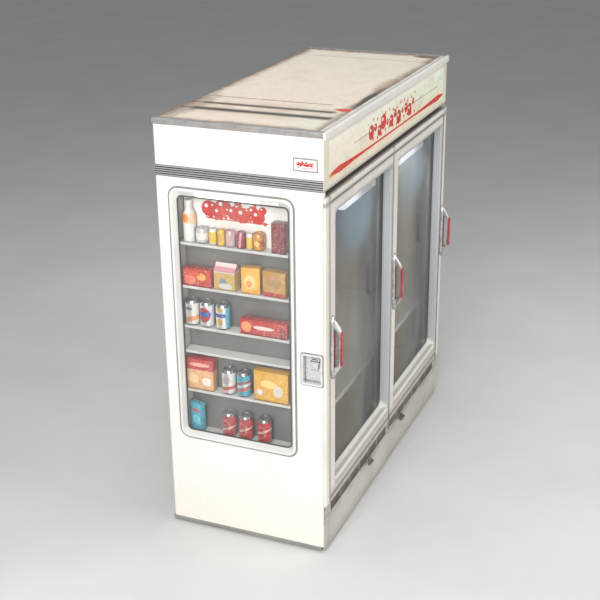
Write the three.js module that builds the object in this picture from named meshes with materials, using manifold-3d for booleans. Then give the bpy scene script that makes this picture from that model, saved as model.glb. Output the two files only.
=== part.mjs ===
// Soda can vending machine: a two-door refrigerated cabinet with a display window and a coin
// mechanism in one end. Millimetres, +Z up, doors face -Y, display window faces -X.
import * as THREE from 'three';
import { mergeVertices } from 'three/addons/utils/BufferGeometryUtils.js';
import Module from 'manifold-3d';

// ---------------------------------------------------------------- driving dimensions
// Cabinet coordinates: x runs from the display end, y runs back from the header face, z is up.
const WIDTH = 1820;
const DEPTH = 790;
const HEIGHT = 2000;
const GAP = 0.3;
const PULL_REACH = 58;

const WALL = 28;
const SHELL_FRONT = 4;
const FACE_SKIN = 3.7;
const BASE_BOTTOM = 8;
const BASE_TOP = 27;
const SHELL_TOP = 1975;
const BACK_THICK = 26;

const DOOR_FACE = -8;
const LEAF_BACK = 48;
const REBATE_FACE = 52;
const FRAME_BACK = 66;
const FRAME_BOTTOM = 236.5;
const FRAME_TOP = 1722;
const LEAF_WIDTH = 857.5;
const LEAF_LEFT = [50, 910.5];
const LEAF_BOTTOM = 241;
const LEAF_TOP = 1690;
const LEAF_GAP = 3;
const HINGE_INSET = 13.5;
const PULL_STILE = 65;
const HINGE_STILE = 18;
const PIVOT_R = 4;
const RUNNING = 0.06;

const HEADER_BOTTOM = 1748;
const HEADER_TOP = 1967.7;
const SIGN = { x0: 60, x1: 1760, z0: 1761.7, z1: 1950.3, thick: 5 };

const SKIRT_BOTTOM = 10;
const SKIRT_TOP = 236;
const SKIRT_SPLIT = 909;

const WINDOW = { y0: 150, y1: 710, z0: 495, z1: 1688, r: 32 };
const BEZEL = { y0: 138, y1: 722, z0: 483, z1: 1700, r: 42 };
const SIGHT = { y0: 168, y1: 698, z0: 509, z1: 1658, r: 24 };
const TRIM_PROUD = 6;
const CASE_BACK = 100;
const DISPLAY_SHELVES = [1438, 1232, 1037, 913, 715];

const COIN = { y0: 7, y1: 107, z0: 858, z1: 1009 };

const LINER = { x0: 104.6, x1: 1791, y0: 66.3, y1: 700, z0: 262, z1: 1706, wall: 20 };
const BAY_SHELF_TOP = 600;
const BAY_SHELVES = [[125, 893], [896, 1770.6]];
const BAY_LAMPS = [495, 1290];
const BAY_LAMP_LENGTH = 410;

const CURVE_STEPS = 5;
const SMALL_STEPS = 2;
const ROUND_STEPS = 24;

// ---------------------------------------------------------------- finishes
const CREAM = { color: 0xcfc9bd, roughness: 0.45, metalness: 0.1 };
const WHITE = { color: 0xeeeeea, roughness: 0.4, metalness: 0.1 };
const GREY = { color: 0x9a9a98, roughness: 0.55, metalness: 0.2 };
const DARK = { color: 0x4c4c4e, roughness: 0.6, metalness: 0.3 };
const STEEL = { color: 0xaeb2b6, roughness: 0.3, metalness: 0.9 };
const CHROME = { color: 0xc8ccd0, roughness: 0.15, metalness: 1 };
const GLASS = { color: 0xb8c6c8, roughness: 0.08, metalness: 0, transparent: true, opacity: 0.35 };
const RUBBER = { color: 0x2b2b2c, roughness: 0.85, metalness: 0 };
const LIT = { color: 0xe6f3fa, roughness: 0.5, metalness: 0 };
const COPPER = { color: 0xb06a45, roughness: 0.4, metalness: 0.9 };

// ---------------------------------------------------------------- solid helpers
const wasm = await Module();
wasm.setup();

function toSolid(geometry) {
  const bare = geometry.clone();
  bare.deleteAttribute('normal');
  bare.deleteAttribute('uv');
  const merged = mergeVertices(bare, 1e-4);
  return new wasm.Manifold(new wasm.Mesh({
    numProp: 3,
    vertProperties: new Float32Array(merged.attributes.position.array),
    triVerts: new Uint32Array(merged.index.array),
  }));
}

function toGeometry(solid) {
  const mesh = solid.getMesh();
  const geometry = new THREE.BufferGeometry();
  geometry.setAttribute('position', new THREE.BufferAttribute(mesh.vertProperties, 3));
  geometry.setIndex(new THREE.BufferAttribute(mesh.triVerts, 1));
  geometry.computeVertexNormals();
  return geometry;
}

function joined(solids) {
  return solids.reduce((sum, solid) => sum.add(solid));
}

function box(x0, x1, y0, y1, z0, z1) {
  const geometry = new THREE.BoxGeometry(x1 - x0, y1 - y0, z1 - z0);
  geometry.translate((x0 + x1) / 2, (y0 + y1) / 2, (z0 + z1) / 2);
  return toSolid(geometry);
}

function basis(u, v, w) {
  return new THREE.Matrix4().makeBasis(
    new THREE.Vector3(...u), new THREE.Vector3(...v), new THREE.Vector3(...w));
}

const ALONG_X = basis([0, 1, 0], [0, 0, 1], [1, 0, 0]);
const ALONG_Y = basis([1, 0, 0], [0, 0, 1], [0, -1, 0]);
const ALONG_Z = basis([1, 0, 0], [0, 1, 0], [0, 0, 1]);

function extruded(shape, depth, matrix, shift, steps) {
  const geometry = new THREE.ExtrudeGeometry(shape, {
    depth, bevelEnabled: false, curveSegments: steps,
  });
  geometry.applyMatrix4(matrix);
  geometry.translate(...shift);
  return toSolid(geometry);
}

// shape in (y, z), filled from x0 to x1
function prismX(shape, x0, x1, steps = CURVE_STEPS) {
  return extruded(shape, x1 - x0, ALONG_X, [x0, 0, 0], steps);
}

// shape in (x, z), filled from y0 to y1
function prismY(shape, y0, y1, steps = CURVE_STEPS) {
  return extruded(shape, y1 - y0, ALONG_Y, [0, y1, 0], steps);
}

// shape in (x, y), filled from z0 to z1
function prismZ(shape, z0, z1, steps = CURVE_STEPS) {
  return extruded(shape, z1 - z0, ALONG_Z, [0, 0, z0], steps);
}

function polygon(points) {
  return new THREE.Shape(points.map(([u, v]) => new THREE.Vector2(u, v)));
}

// rectangle with one radius per corner, in the order (u0,v0) (u1,v0) (u1,v1) (u0,v1)
function cornered(u0, u1, v0, v1, radii) {
  const shape = new THREE.Shape();
  const corners = [[u0, v0, 1, 1, 180], [u1, v0, -1, 1, 270], [u1, v1, -1, -1, 0], [u0, v1, 1, -1, 90]];
  corners.forEach(([u, v, su, sv, start], i) => {
    const r = radii[i];
    if (r > 0) {
      const from = THREE.MathUtils.degToRad(start);
      shape.absarc(u + su * r, v + sv * r, r, from, from + Math.PI / 2, false);
    } else if (i === 0) {
      shape.moveTo(u, v);
    } else {
      shape.lineTo(u, v);
    }
  });
  shape.closePath();
  return shape;
}

function rounded(u0, u1, v0, v1, r) {
  return cornered(u0, u1, v0, v1, [r, r, r, r]);
}

// solid whose cross-section changes from one outline to another of as many points
function lofted(near, far, place) {
  const a = near.getPoints(CURVE_STEPS);
  const b = far.getPoints(CURVE_STEPS);
  const count = a.length - 1;
  const positions = [];
  for (const [points, end] of [[a, 0], [b, 1]]) {
    for (let i = 0; i < count; i += 1) {
      positions.push(...place(points[i].x, points[i].y, end));
    }
  }
  const index = [];
  for (const [i, j, k] of THREE.ShapeUtils.triangulateShape(a.slice(0, count), [])) {
    index.push(i, k, j);
    index.push(count + i, count + j, count + k);
  }
  for (let i = 0; i < count; i += 1) {
    const n = (i + 1) % count;
    index.push(i, n, count + n, i, count + n, count + i);
  }
  const geometry = new THREE.BufferGeometry();
  geometry.setAttribute('position', new THREE.Float32BufferAttribute(positions, 3));
  geometry.setIndex(index);
  return toSolid(geometry);
}

function taperX(near, x0, far, x1) {
  return lofted(near, far, (u, v, end) => [end ? x1 : x0, u, v]);
}

// outlines in (-x, z) so that the solid faces outwards
function taperY(near, y0, far, y1) {
  return lofted(near, far, (u, v, end) => [-u, end ? y1 : y0, v]);
}

function cylinder(radius, length, axis, centre, steps = ROUND_STEPS) {
  const geometry = new THREE.CylinderGeometry(radius, radius, length, steps);
  if (axis === 'x') geometry.rotateZ(Math.PI / 2);
  if (axis === 'z') geometry.rotateX(Math.PI / 2);
  geometry.translate(...centre);
  return toSolid(geometry);
}

function turned(profile, centre, steps = ROUND_STEPS) {
  const geometry = new THREE.LatheGeometry(profile.map(([r, h]) => new THREE.Vector2(r, h)), steps);
  geometry.rotateX(Math.PI / 2);
  geometry.translate(...centre);
  return toSolid(geometry);
}

const machine = new THREE.Group();
machine.name = 'soda_can_vending_machine';
machine.position.set(-WIDTH / 2, (PULL_REACH - DEPTH) / 2, 0);

function add(name, finish, solid) {
  const mesh = new THREE.Mesh(toGeometry(solid), new THREE.MeshStandardMaterial(finish));
  mesh.name = name;
  machine.add(mesh);
}

// ---------------------------------------------------------------- base, feet and shell
const FOOT_SPOTS = [['front_left', 45, 62], ['front_right', WIDTH - 45, 62],
  ['rear_left', 45, DEPTH - 45], ['rear_right', WIDTH - 45, DEPTH - 45]];
const FOOT_STEM_R = 8;

function baseFrame() {
  const rim = 80;
  const deck = 6;
  let frame = box(0, WIDTH, 17, DEPTH, BASE_BOTTOM, BASE_TOP);
  const bays = 3;
  const pitch = (WIDTH - rim) / bays;
  for (let i = 0; i < bays; i += 1) {
    const x0 = rim + i * pitch;
    frame = frame.subtract(
      box(x0, x0 + pitch - rim, 17 + rim, DEPTH - rim, BASE_BOTTOM - 1, BASE_TOP - deck));
  }
  for (const [, x, y] of FOOT_SPOTS) {
    frame = frame.subtract(cylinder(FOOT_STEM_R + 1, 20, 'z', [x, y, BASE_BOTTOM + 5], 12));
  }
  const post = 30;
  const spots = [[LINER.x0 + 6, 620], [LINER.x1 - post, 620], [640, 130], [LINER.x1 - post, 130]];
  const posts = spots.map(([x, y]) => box(x, x + post, y, y + post, BASE_TOP - 1, LINER.z0 - GAP));
  return joined([frame, ...posts]);
}

function foot(x, y) {
  const pad = 26;
  const profile = [[0, 0], [pad, 0], [pad, 3.5], [FOOT_STEM_R + 5, 6.5], [FOOT_STEM_R, 7], [FOOT_STEM_R, 22],
    [0, 22]];
  return turned(profile, [x, y, 0], 16);
}

function endPanelBlank(x0, x1, outerAtLow) {
  const front = 3;
  const back = 14;
  const radii = outerAtLow ? [front, 0, 0, back] : [0, front, back, 0];
  return prismZ(cornered(x0, x1, SHELL_FRONT, DEPTH, radii), BASE_TOP + GAP, SHELL_TOP);
}

function endPanelNear() {
  const window = prismX(rounded(WINDOW.y0, WINDOW.y1, WINDOW.z0, WINDOW.z1, WINDOW.r), -1, WALL + 1);
  const coin = box(-1, WALL + 1, COIN.y0 + 6, COIN.y1 - 5, COIN.z0 + 7, COIN.z1 - 7);
  return endPanelBlank(0, WALL, true).subtract(window).subtract(coin);
}

const INLET = { x0: 1560, x1: 1622, z0: 96, z1: 146 };

function backPanel() {
  const front = DEPTH - BACK_THICK;
  let panel = box(WALL + GAP, WIDTH - WALL - GAP, front, DEPTH - 1, BASE_TOP + GAP, SHELL_TOP);
  const slots = 6;
  for (const start of [300, 1000]) {
    for (let i = 0; i < slots; i += 1) {
      const z = 70 + i * 24;
      panel = panel.subtract(box(start, start + 380, front - 1, DEPTH + 1, z, z + 9));
    }
  }
  return panel.subtract(box(INLET.x0, INLET.x1, front - 1, DEPTH + 1, INLET.z0, INLET.z1));
}

function powerInlet() {
  const clear = 0.4;
  const front = DEPTH - BACK_THICK;
  const body = box(INLET.x0 + clear, INLET.x1 - clear, front, DEPTH - 1, INLET.z0 + clear, INLET.z1 - clear);
  const midX = (INLET.x0 + INLET.x1) / 2;
  const midZ = (INLET.z0 + INLET.z1) / 2;
  const socket = box(midX - 20, midX + 20, front + 4, DEPTH, midZ - 15, midZ + 15);
  const pins = [[-11, -4], [11, -4], [0, 6]].map(([dx, dz]) => box(
    midX + dx - 1.5, midX + dx + 1.5, front + 3, DEPTH - 6, midZ + dz - 3.5, midZ + dz + 3.5));
  return joined([body.subtract(socket), ...pins]);
}

// pressed grooves of the roof: centre x, width, and where each one ends near the front
const ROOF_GROOVES = [[366, 18, 104], [254, 18, 62], [502, 5, 150], [1612, 7, 60]];

function topPanel() {
  const top = HEIGHT - 4;
  const back = DEPTH - 1;
  let panel = box(WALL - 5, WIDTH - WALL + 5, 30 + GAP, back, SHELL_TOP + GAP, top);
  for (const [x, width, end] of ROOF_GROOVES) {
    panel = panel.subtract(prismZ(cornered(x - width / 2, x + width / 2, end, back + 1,
      [width / 2.2, width / 2.2, 0, 0]), top - 4, top + 1));
  }
  return panel;
}

function topTrimFront() {
  const lip = prismX(cornered(-10, 1.7, 1968.2, HEIGHT, [3, 0, 0, 9]), -4, WIDTH + 4);
  const ledge = box(WALL - 5, WIDTH - WALL + 5, 1, 30, SHELL_TOP + GAP, HEIGHT);
  return lip.add(ledge);
}

function capStrip(x0, x1, outerAtLow) {
  const radii = outerAtLow ? [0, 0, 0, 4] : [0, 0, 4, 0];
  return prismY(cornered(x0, x1, SHELL_TOP + GAP, HEIGHT, radii), 2, DEPTH - 1);
}

function ribbedBand(x0, x1, outerAtLow) {
  const z0 = 1748;
  const ribs = 5;
  const pitch = 9.8;
  const dip = outerAtLow ? x0 + 3.2 : x1 - 3.2;
  const crest = outerAtLow ? x0 : x1;
  const root = outerAtLow ? x1 : x0;
  const points = [[root, z0]];
  for (let i = 0; i < ribs; i += 1) {
    const z = z0 + i * pitch;
    points.push([dip, z], [dip, z + 2.2], [crest, z + 3.6], [crest, z + 8.6]);
  }
  points.push([dip, z0 + ribs * pitch], [root, z0 + ribs * pitch]);
  if (outerAtLow) points.reverse();
  return prismY(polygon(points), 2, DEPTH - 2);
}

// ---------------------------------------------------------------- header
function headerBox() {
  const skin = prismZ(cornered(0, WIDTH, 0, FACE_SKIN, [3, 3, 0, 0]), HEADER_BOTTOM, HEADER_TOP);
  const body = box(WALL + 0.6, WIDTH - WALL - 0.6, 3, 124, HEADER_BOTTOM, HEADER_TOP);
  const seat = box(SIGN.x0, SIGN.x1, -1, SIGN.thick + GAP, SIGN.z0, SIGN.z1);
  const cavity = box(SIGN.x0 + 20, SIGN.x1 - 20, 4, 118, SIGN.z0 + 14, SIGN.z1 - 12);
  return skin.add(body).subtract(seat).subtract(cavity);
}

function signPanel() {
  return box(SIGN.x0 + GAP, SIGN.x1 - GAP, 0, SIGN.thick, SIGN.z0 + GAP, SIGN.z1 - GAP);
}

// ---------------------------------------------------------------- front frame and doors
function leafRight(i) {
  return LEAF_LEFT[i] + LEAF_WIDTH;
}

function hingeX(i) {
  return leafRight(i) - HINGE_INSET;
}

const HINGE_Y = DOOR_FACE + HINGE_INSET;

function doorFrame() {
  const skin = prismZ(cornered(0, WIDTH, DOOR_FACE, FACE_SKIN, [8, 8, 0, 0]), FRAME_BOTTOM, FRAME_TOP);
  const body = box(WALL + 0.6, WIDTH - WALL - 0.6, 0, FRAME_BACK, FRAME_BOTTOM, FRAME_TOP);
  let frame = skin.add(body).subtract(box(LEAF_LEFT[0] - LEAF_GAP, leafRight(1) + LEAF_GAP,
    DOOR_FACE - 1, REBATE_FACE, FRAME_BOTTOM - 1, LEAF_TOP + LEAF_GAP));
  for (let i = 0; i < LEAF_LEFT.length; i += 1) {
    frame = frame.subtract(prismY(rounded(LEAF_LEFT[i] + 46, leafRight(i) - 30, 292, 1650, 20),
      REBATE_FACE - 1, FRAME_BACK + 1));
    frame = frame.subtract(cylinder(PIVOT_R + GAP, 40, 'z', [hingeX(i), HINGE_Y, LEAF_TOP + 6]));
  }
  return frame.subtract(box(WALL, 44, 20, FRAME_BACK + 1, 900, 1000));
}

function leafOpening(i, stage) {
  const { inset, bottom, top, r } = stage;
  const x0 = LEAF_LEFT[i] + PULL_STILE + inset;
  const x1 = leafRight(i) - HINGE_STILE - inset;
  return rounded(-x1, -x0, bottom, top, r);
}

const OPENING_STAGES = [
  { y: DOOR_FACE - 0.5, inset: -1, bottom: 309, top: 1638, r: 34 },
  { y: 4, inset: 1, bottom: 331, top: 1633, r: 32 },
  { y: 38.5, inset: 4, bottom: 350, top: 1627, r: 30 },
];
const GLASS_SEAT = { inset: 7, bottom: 298, top: 1662, r: 20 };

function glassSeat(i, clear) {
  const { inset, bottom, top, r } = GLASS_SEAT;
  return rounded(LEAF_LEFT[i] + PULL_STILE - inset + clear, leafRight(i) - HINGE_STILE + inset - clear,
    bottom + clear, top - clear, r - clear);
}

function doorLeaf(i) {
  const outline = cornered(LEAF_LEFT[i], leafRight(i), DOOR_FACE, LEAF_BACK, [5, HINGE_INSET, 1, 1]);
  let leaf = prismZ(outline, LEAF_BOTTOM, LEAF_TOP);
  for (let s = 0; s + 1 < OPENING_STAGES.length; s += 1) {
    const near = OPENING_STAGES[s];
    const far = OPENING_STAGES[s + 1];
    leaf = leaf.subtract(taperY(leafOpening(i, near), near.y, leafOpening(i, far), far.y));
  }
  leaf = leaf.subtract(prismY(glassSeat(i, 0), 38, LEAF_BACK + 1));
  for (const z of [LEAF_BOTTOM, LEAF_TOP]) {
    leaf = leaf.subtract(cylinder(PIVOT_R + RUNNING, 36, 'z', [hingeX(i), HINGE_Y, z]));
  }
  return leaf;
}

function doorGlass(i) {
  return prismY(glassSeat(i, 0.4), 38.4, 46.4);
}

function doorGasket(i) {
  const outer = rounded(LEAF_LEFT[i] + 8, leafRight(i) - HINGE_INSET - 2, 249, 1682, 10);
  const inner = rounded(LEAF_LEFT[i] + 40, leafRight(i) - 27, 286, 1658, 14);
  const ring = prismY(outer, LEAF_BACK + GAP, REBATE_FACE - 0.5);
  return ring.subtract(prismY(inner, LEAF_BACK, REBATE_FACE));
}

function pivotPin(i) {
  return cylinder(PIVOT_R, 38, 'z', [hingeX(i), HINGE_Y, LEAF_TOP + 4.5]);
}

function pivotBracket(i) {
  const plate = box(hingeX(i) - 14, hingeX(i) + 9, -3, REBATE_FACE - GAP, FRAME_BOTTOM + 0.4,
    LEAF_BOTTOM - 0.6);
  return plate.add(cylinder(PIVOT_R, 18, 'z', [hingeX(i), HINGE_Y, LEAF_BOTTOM + 7]));
}

const PULL_OFFSET = 26;
const PULL_X = [LEAF_LEFT[0] + PULL_OFFSET, LEAF_LEFT[1] + PULL_OFFSET, 1796];

function pull(x) {
  const root = DOOR_FACE - GAP;
  const plate = prismY(polygon([[x - 6, 870], [x + 6, 870], [x + 19, 908], [x + 19, 1134], [x + 6, 1172],
    [x - 6, 1172], [x - 19, 1134], [x - 19, 908]]), root - 7, root);
  const outer = polygon([[root - 2, 1160], [-PULL_REACH + 3, 1108], [-PULL_REACH, 1100],
    [-PULL_REACH, 942], [-PULL_REACH + 3, 934], [root - 2, 882]]);
  const inner = polygon([[root - 7, 1136], [-PULL_REACH + 12, 1092], [-PULL_REACH + 12, 950],
    [root - 7, 906]]);
  const loop = prismX(outer, x - 13, x + 13).subtract(prismX(inner, x - 14, x + 14));
  return plate.add(loop);
}

// ---------------------------------------------------------------- display window and case
function windowBezel() {
  const flange = prismX(rounded(BEZEL.y0, BEZEL.y1, BEZEL.z0, BEZEL.z1, BEZEL.r), -TRIM_PROUD + 2, -GAP);
  const eased = rounded(BEZEL.y0 + 3, BEZEL.y1 - 3, BEZEL.z0 + 3, BEZEL.z1 - 3, BEZEL.r - 3);
  const full = rounded(BEZEL.y0, BEZEL.y1, BEZEL.z0, BEZEL.z1, BEZEL.r);
  const rim = taperX(eased, -TRIM_PROUD, full, -TRIM_PROUD + 2);
  const fit = 0.5;
  const collar = prismX(rounded(WINDOW.y0 + fit, WINDOW.y1 - fit, WINDOW.z0 + fit, WINDOW.z1 - fit,
    WINDOW.r - fit), -1, 24);
  const wide = rounded(WINDOW.y0 - 1, WINDOW.y1 + 1, WINDOW.z0 - 1, WINDOW.z1 + 1, 34);
  const narrow = rounded(SIGHT.y0, SIGHT.y1, SIGHT.z0, SIGHT.z1, SIGHT.r);
  const mouth = taperX(wide, -TRIM_PROUD - 0.5, narrow, 24.5);
  return joined([flange, rim, collar]).subtract(mouth);
}

function windowGlass() {
  const fit = 0.6;
  return prismX(rounded(WINDOW.y0 + fit, WINDOW.y1 - fit, WINDOW.z0 + fit, WINDOW.z1 - fit, WINDOW.r - fit),
    24.3, 28.3);
}

const CASE = { y0: 152, y1: 708, z0: 492, z1: 1690 };

function displayCase() {
  const skin = 4;
  const outer = prismX(rounded(CASE.y0 - skin, CASE.y1 + skin, CASE.z0 - skin, CASE.z1 + skin, 8),
    WALL + 0.6, CASE_BACK + skin, SMALL_STEPS);
  const inner = prismX(rounded(CASE.y0, CASE.y1, CASE.z0, CASE.z1, 5), WALL, CASE_BACK, SMALL_STEPS);
  return outer.subtract(inner);
}

function displayShelf(top) {
  const board = box(32, CASE_BACK - GAP, CASE.y0 + GAP, CASE.y1 - GAP, top - 4, top);
  const lip = prismY(rounded(29, 33, top - 9, top + 4, 1.8), CASE.y0 + GAP, CASE.y1 - GAP, SMALL_STEPS);
  return board.add(lip);
}

function headerCard() {
  return box(94, 97, 158, 702, DISPLAY_SHELVES[0] + GAP, 1682);
}

function displayLamp() {
  const geometry = new THREE.BoxGeometry(20, 395, 3);
  geometry.rotateY(Math.PI / 4);
  geometry.translate(7.4, 402, 1671.6);
  return toSolid(geometry);
}

// ---------------------------------------------------------------- coin mechanism
const CUP = { y0: 16, y1: 99, z0: 868, z1: 999, back: 24 };
const SLOT_Y = 49;
const SLOT_Z = 980;
const FLAP = { y0: 33, y1: 66, z0: 930, z1: 966, x: 11.5 };

function coinBezel() {
  const flange = prismX(rounded(COIN.y0, COIN.y1, COIN.z0, COIN.z1, 10), -4, -GAP);
  const rim = 2.5;
  const cup = prismX(rounded(CUP.y0 - rim, CUP.y1 + rim, CUP.z0 - rim, CUP.z1 + rim, 6), -1, CUP.back + 3,
    SMALL_STEPS);
  const hollow = prismX(rounded(CUP.y0, CUP.y1, CUP.z0, CUP.z1, 5), -5, CUP.back, SMALL_STEPS);
  const slot = box(0, 40, SLOT_Y - 14, SLOT_Y + 14, SLOT_Z - 2.5, SLOT_Z + 2.5);
  const way = box(0, 40, FLAP.y0 + 3, FLAP.y1 - 3, FLAP.z0 + 3, FLAP.z1 - 6);
  let body = flange.add(cup).subtract(hollow).subtract(slot).subtract(way);
  for (const y0 of [FLAP.y0 - 4.4, FLAP.y1 + 0.4]) {
    const ear = box(FLAP.x - 3.5, CUP.back + 1, y0, y0 + 4, FLAP.z1 - 3.5, FLAP.z1 + 3.5);
    const hole = cylinder(1.5 + RUNNING, 6, 'y', [FLAP.x, y0 + 2, FLAP.z1], 24);
    body = body.add(ear.subtract(hole));
  }
  return body;
}

function coinSlotPlate() {
  const plate = box(13, CUP.back - GAP, SLOT_Y - 21, SLOT_Y + 21, SLOT_Z - 6.5, SLOT_Z + 6.5);
  return plate.subtract(box(12, CUP.back, SLOT_Y - 14, SLOT_Y + 14, SLOT_Z - 2.5, SLOT_Z + 2.5));
}

function coinReturnFlap() {
  const leaf = box(FLAP.x - 1.5, FLAP.x + 1.5, FLAP.y0, FLAP.y1, FLAP.z0, FLAP.z1);
  const barrel = cylinder(2.6, FLAP.y1 - FLAP.y0, 'y', [FLAP.x, (FLAP.y0 + FLAP.y1) / 2, FLAP.z1], 24);
  const pin = cylinder(1.5, FLAP.y1 - FLAP.y0 + 7.6, 'y', [FLAP.x, (FLAP.y0 + FLAP.y1) / 2, FLAP.z1], 24);
  const lip = box(FLAP.x - 4, FLAP.x, FLAP.y0, FLAP.y1, FLAP.z0, FLAP.z0 + 2.5);
  return joined([leaf, barrel, pin, lip]);
}

function coinBox() {
  const wall = 2.5;
  const x0 = WALL + GAP;
  const outer = box(x0, 100, FRAME_BACK + 0.6, 136, 700, 1000);
  const inner = box(x0 + wall, 100 - wall, FRAME_BACK + 0.6 + wall, 136 - wall, 700 + wall, 1001);
  const mouth = box(x0 + wall + 1, 44, FRAME_BACK, 80, 905, 1001);
  return outer.subtract(inner).subtract(mouth);
}

// ---------------------------------------------------------------- refrigerated compartment
const FAN_X = 900;
const FAN_Y = 390;

function liner() {
  const { x0, x1, y0, y1, z0, z1, wall } = LINER;
  const inside = box(x0 + wall, x1 - wall, y0 - 1, y1 - wall, z0 + wall, z1 - wall);
  let body = box(x0, x1, y0, y1, z0, z1).subtract(inside);
  body = body.subtract(cylinder(110, 60, 'z', [FAN_X, FAN_Y, z1 - wall / 2]));
  for (const x of [560, 1130]) {
    body = body.subtract(box(x, x + 110, 280, 500, z1 - wall - 1, z1 + 1));
  }
  return body;
}

function bayShelf([x0, x1]) {
  const back = LINER.y1 - LINER.wall - GAP;
  const board = box(x0, x1, 92, back, BAY_SHELF_TOP - 6, BAY_SHELF_TOP);
  const flange = box(x0, x1, back - 4, back, BAY_SHELF_TOP - 46, BAY_SHELF_TOP - 5);
  const lip = prismX(rounded(88, 93, BAY_SHELF_TOP - 20, BAY_SHELF_TOP + 3, 2), x0, x1, SMALL_STEPS);
  return joined([board, flange, lip]);
}

function bayLamp(x0) {
  const x1 = x0 + BAY_LAMP_LENGTH;
  const body = prismX(cornered(84, 150, 1516, 1574, [14, 14, 3, 3]), x0, x1, 3);
  const stems = [x0 + 70, x1 - 90].map((x) => box(x, x + 20, 108, 126, 1573, LINER.z1 - LINER.wall - GAP));
  return joined([body, ...stems]);
}

// ---------------------------------------------------------------- cooling unit
function finBlock(x0, x1, y0, y1, z0, z1, count) {
  const tubes = [z0 + (z1 - z0) * 0.28, z0 + (z1 - z0) * 0.72].map((z) => cylinder(
    6, x1 - x0 - 1, 'x', [(x0 + x1) / 2, (y0 + y1) / 2, z], 8));
  const pitch = (x1 - x0 - 2) / (count - 1);
  const fins = [];
  for (let i = 0; i < count; i += 1) {
    fins.push(box(x0 + i * pitch, x0 + i * pitch + 2, y0, y1, z0, z1));
  }
  return joined([...tubes, ...fins]);
}

function evaporator() {
  const z0 = 1730;
  const block = finBlock(FAN_X - 280, FAN_X + 280, 300, 480, z0, 1850, 10);
  const tray = box(FAN_X - 284, FAN_X + 284, 296, 484, z0 - 3, z0 + 2).subtract(
    box(FAN_X - 90, FAN_X + 90, 305, 370, z0 - 4, z0 + 3));
  const legs = [-270, 250].map((dx) => box(FAN_X + dx, FAN_X + dx + 20, 380, 400, LINER.z1 + GAP, z0));
  const boss = cylinder(16, 12, 'z', [FAN_X, FAN_Y, z0 - 6]);
  const bearing = cylinder(4 + RUNNING, 12, 'z', [FAN_X, FAN_Y, z0 - 9]);
  return joined([block, tray, ...legs, boss]).subtract(bearing);
}

function fanBlades(radius, depth, count) {
  const blades = [];
  for (let i = 0; i < count; i += 1) {
    const geometry = new THREE.BoxGeometry(radius - 14, 34, 2.2);
    geometry.rotateX(THREE.MathUtils.degToRad(28));
    geometry.translate((radius + 14) / 2, 0, 0);
    geometry.rotateZ((i * 2 * Math.PI) / count);
    blades.push(toSolid(geometry));
  }
  return joined([cylinder(22, depth, 'z', [0, 0, 0], 24), ...blades]);
}

function evaporatorFan() {
  const z = LINER.z1 - LINER.wall / 2;
  const rotor = fanBlades(100, 20, 5).translate([FAN_X, FAN_Y, z]);
  return rotor.add(cylinder(4, 22, 'z', [FAN_X, FAN_Y, z + 18]));
}

const CONDENSER = { x0: 150, x1: 560, y0: 60, y1: 108, z0: 46, z1: 226 };
const COND_FAN = { x: 355, y: 132, z: 136 };

function condenser() {
  const { x0, x1, y0, y1, z0, z1 } = CONDENSER;
  const block = finBlock(x0, x1, y0, y1, z0, z1, 10);
  const rails = [z0 - 4, z1 - 3].map((z) => box(x0 - 4, x1 + 4, y0 - 2, y1 + 2, z, z + 7));
  const legs = [x0, x1 - 20].map((x) => box(x, x + 20, y0, y1, BASE_TOP + GAP, z0));
  const bar = box(COND_FAN.x - 12, COND_FAN.x + 12, y1 - 4, y1 + 4, z0 - 4, z1 + 4);
  const boss = cylinder(14, 16, 'y', [COND_FAN.x, y1 + 2, COND_FAN.z], 24);
  const bearing = cylinder(4 + RUNNING, 20, 'y', [COND_FAN.x, y1 + 6, COND_FAN.z]);
  return joined([block, ...rails, ...legs, bar, boss]).subtract(bearing);
}

function condenserFan() {
  const rotor = fanBlades(82, 20, 6).rotate([90, 0, 0]).translate([COND_FAN.x, COND_FAN.y, COND_FAN.z]);
  return rotor.add(cylinder(4, 20, 'y', [COND_FAN.x, COND_FAN.y - 18, COND_FAN.z]));
}

function compressor() {
  const centre = [900, 400, 0];
  const profile = [[0, 44], [70, 46], [92, 62], [98, 90], [98, 132], [92, 168], [70, 196], [34, 210],
    [0, 212]];
  const shell = turned(profile, centre, 20);
  const plate = box(centre[0] - 125, centre[0] + 125, centre[1] - 85, centre[1] + 85, 42, 48);
  const mounts = [[-105, -65], [105, -65], [-105, 65], [105, 65]].map(([dx, dy]) => cylinder(
    13, 16, 'z', [centre[0] + dx, centre[1] + dy, BASE_TOP + GAP + 8], 10));
  return joined([shell, plate, ...mounts]);
}

// ---------------------------------------------------------------- skirt
const CATCHES = [[630, 150], [1150, 150]];
const SKIRT_RANGES = [[0, SKIRT_SPLIT - 0.5], [SKIRT_SPLIT + 0.5, WIDTH]];
const SKIRT_VENTS = [[78, 880], [938, 1740]];

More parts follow.
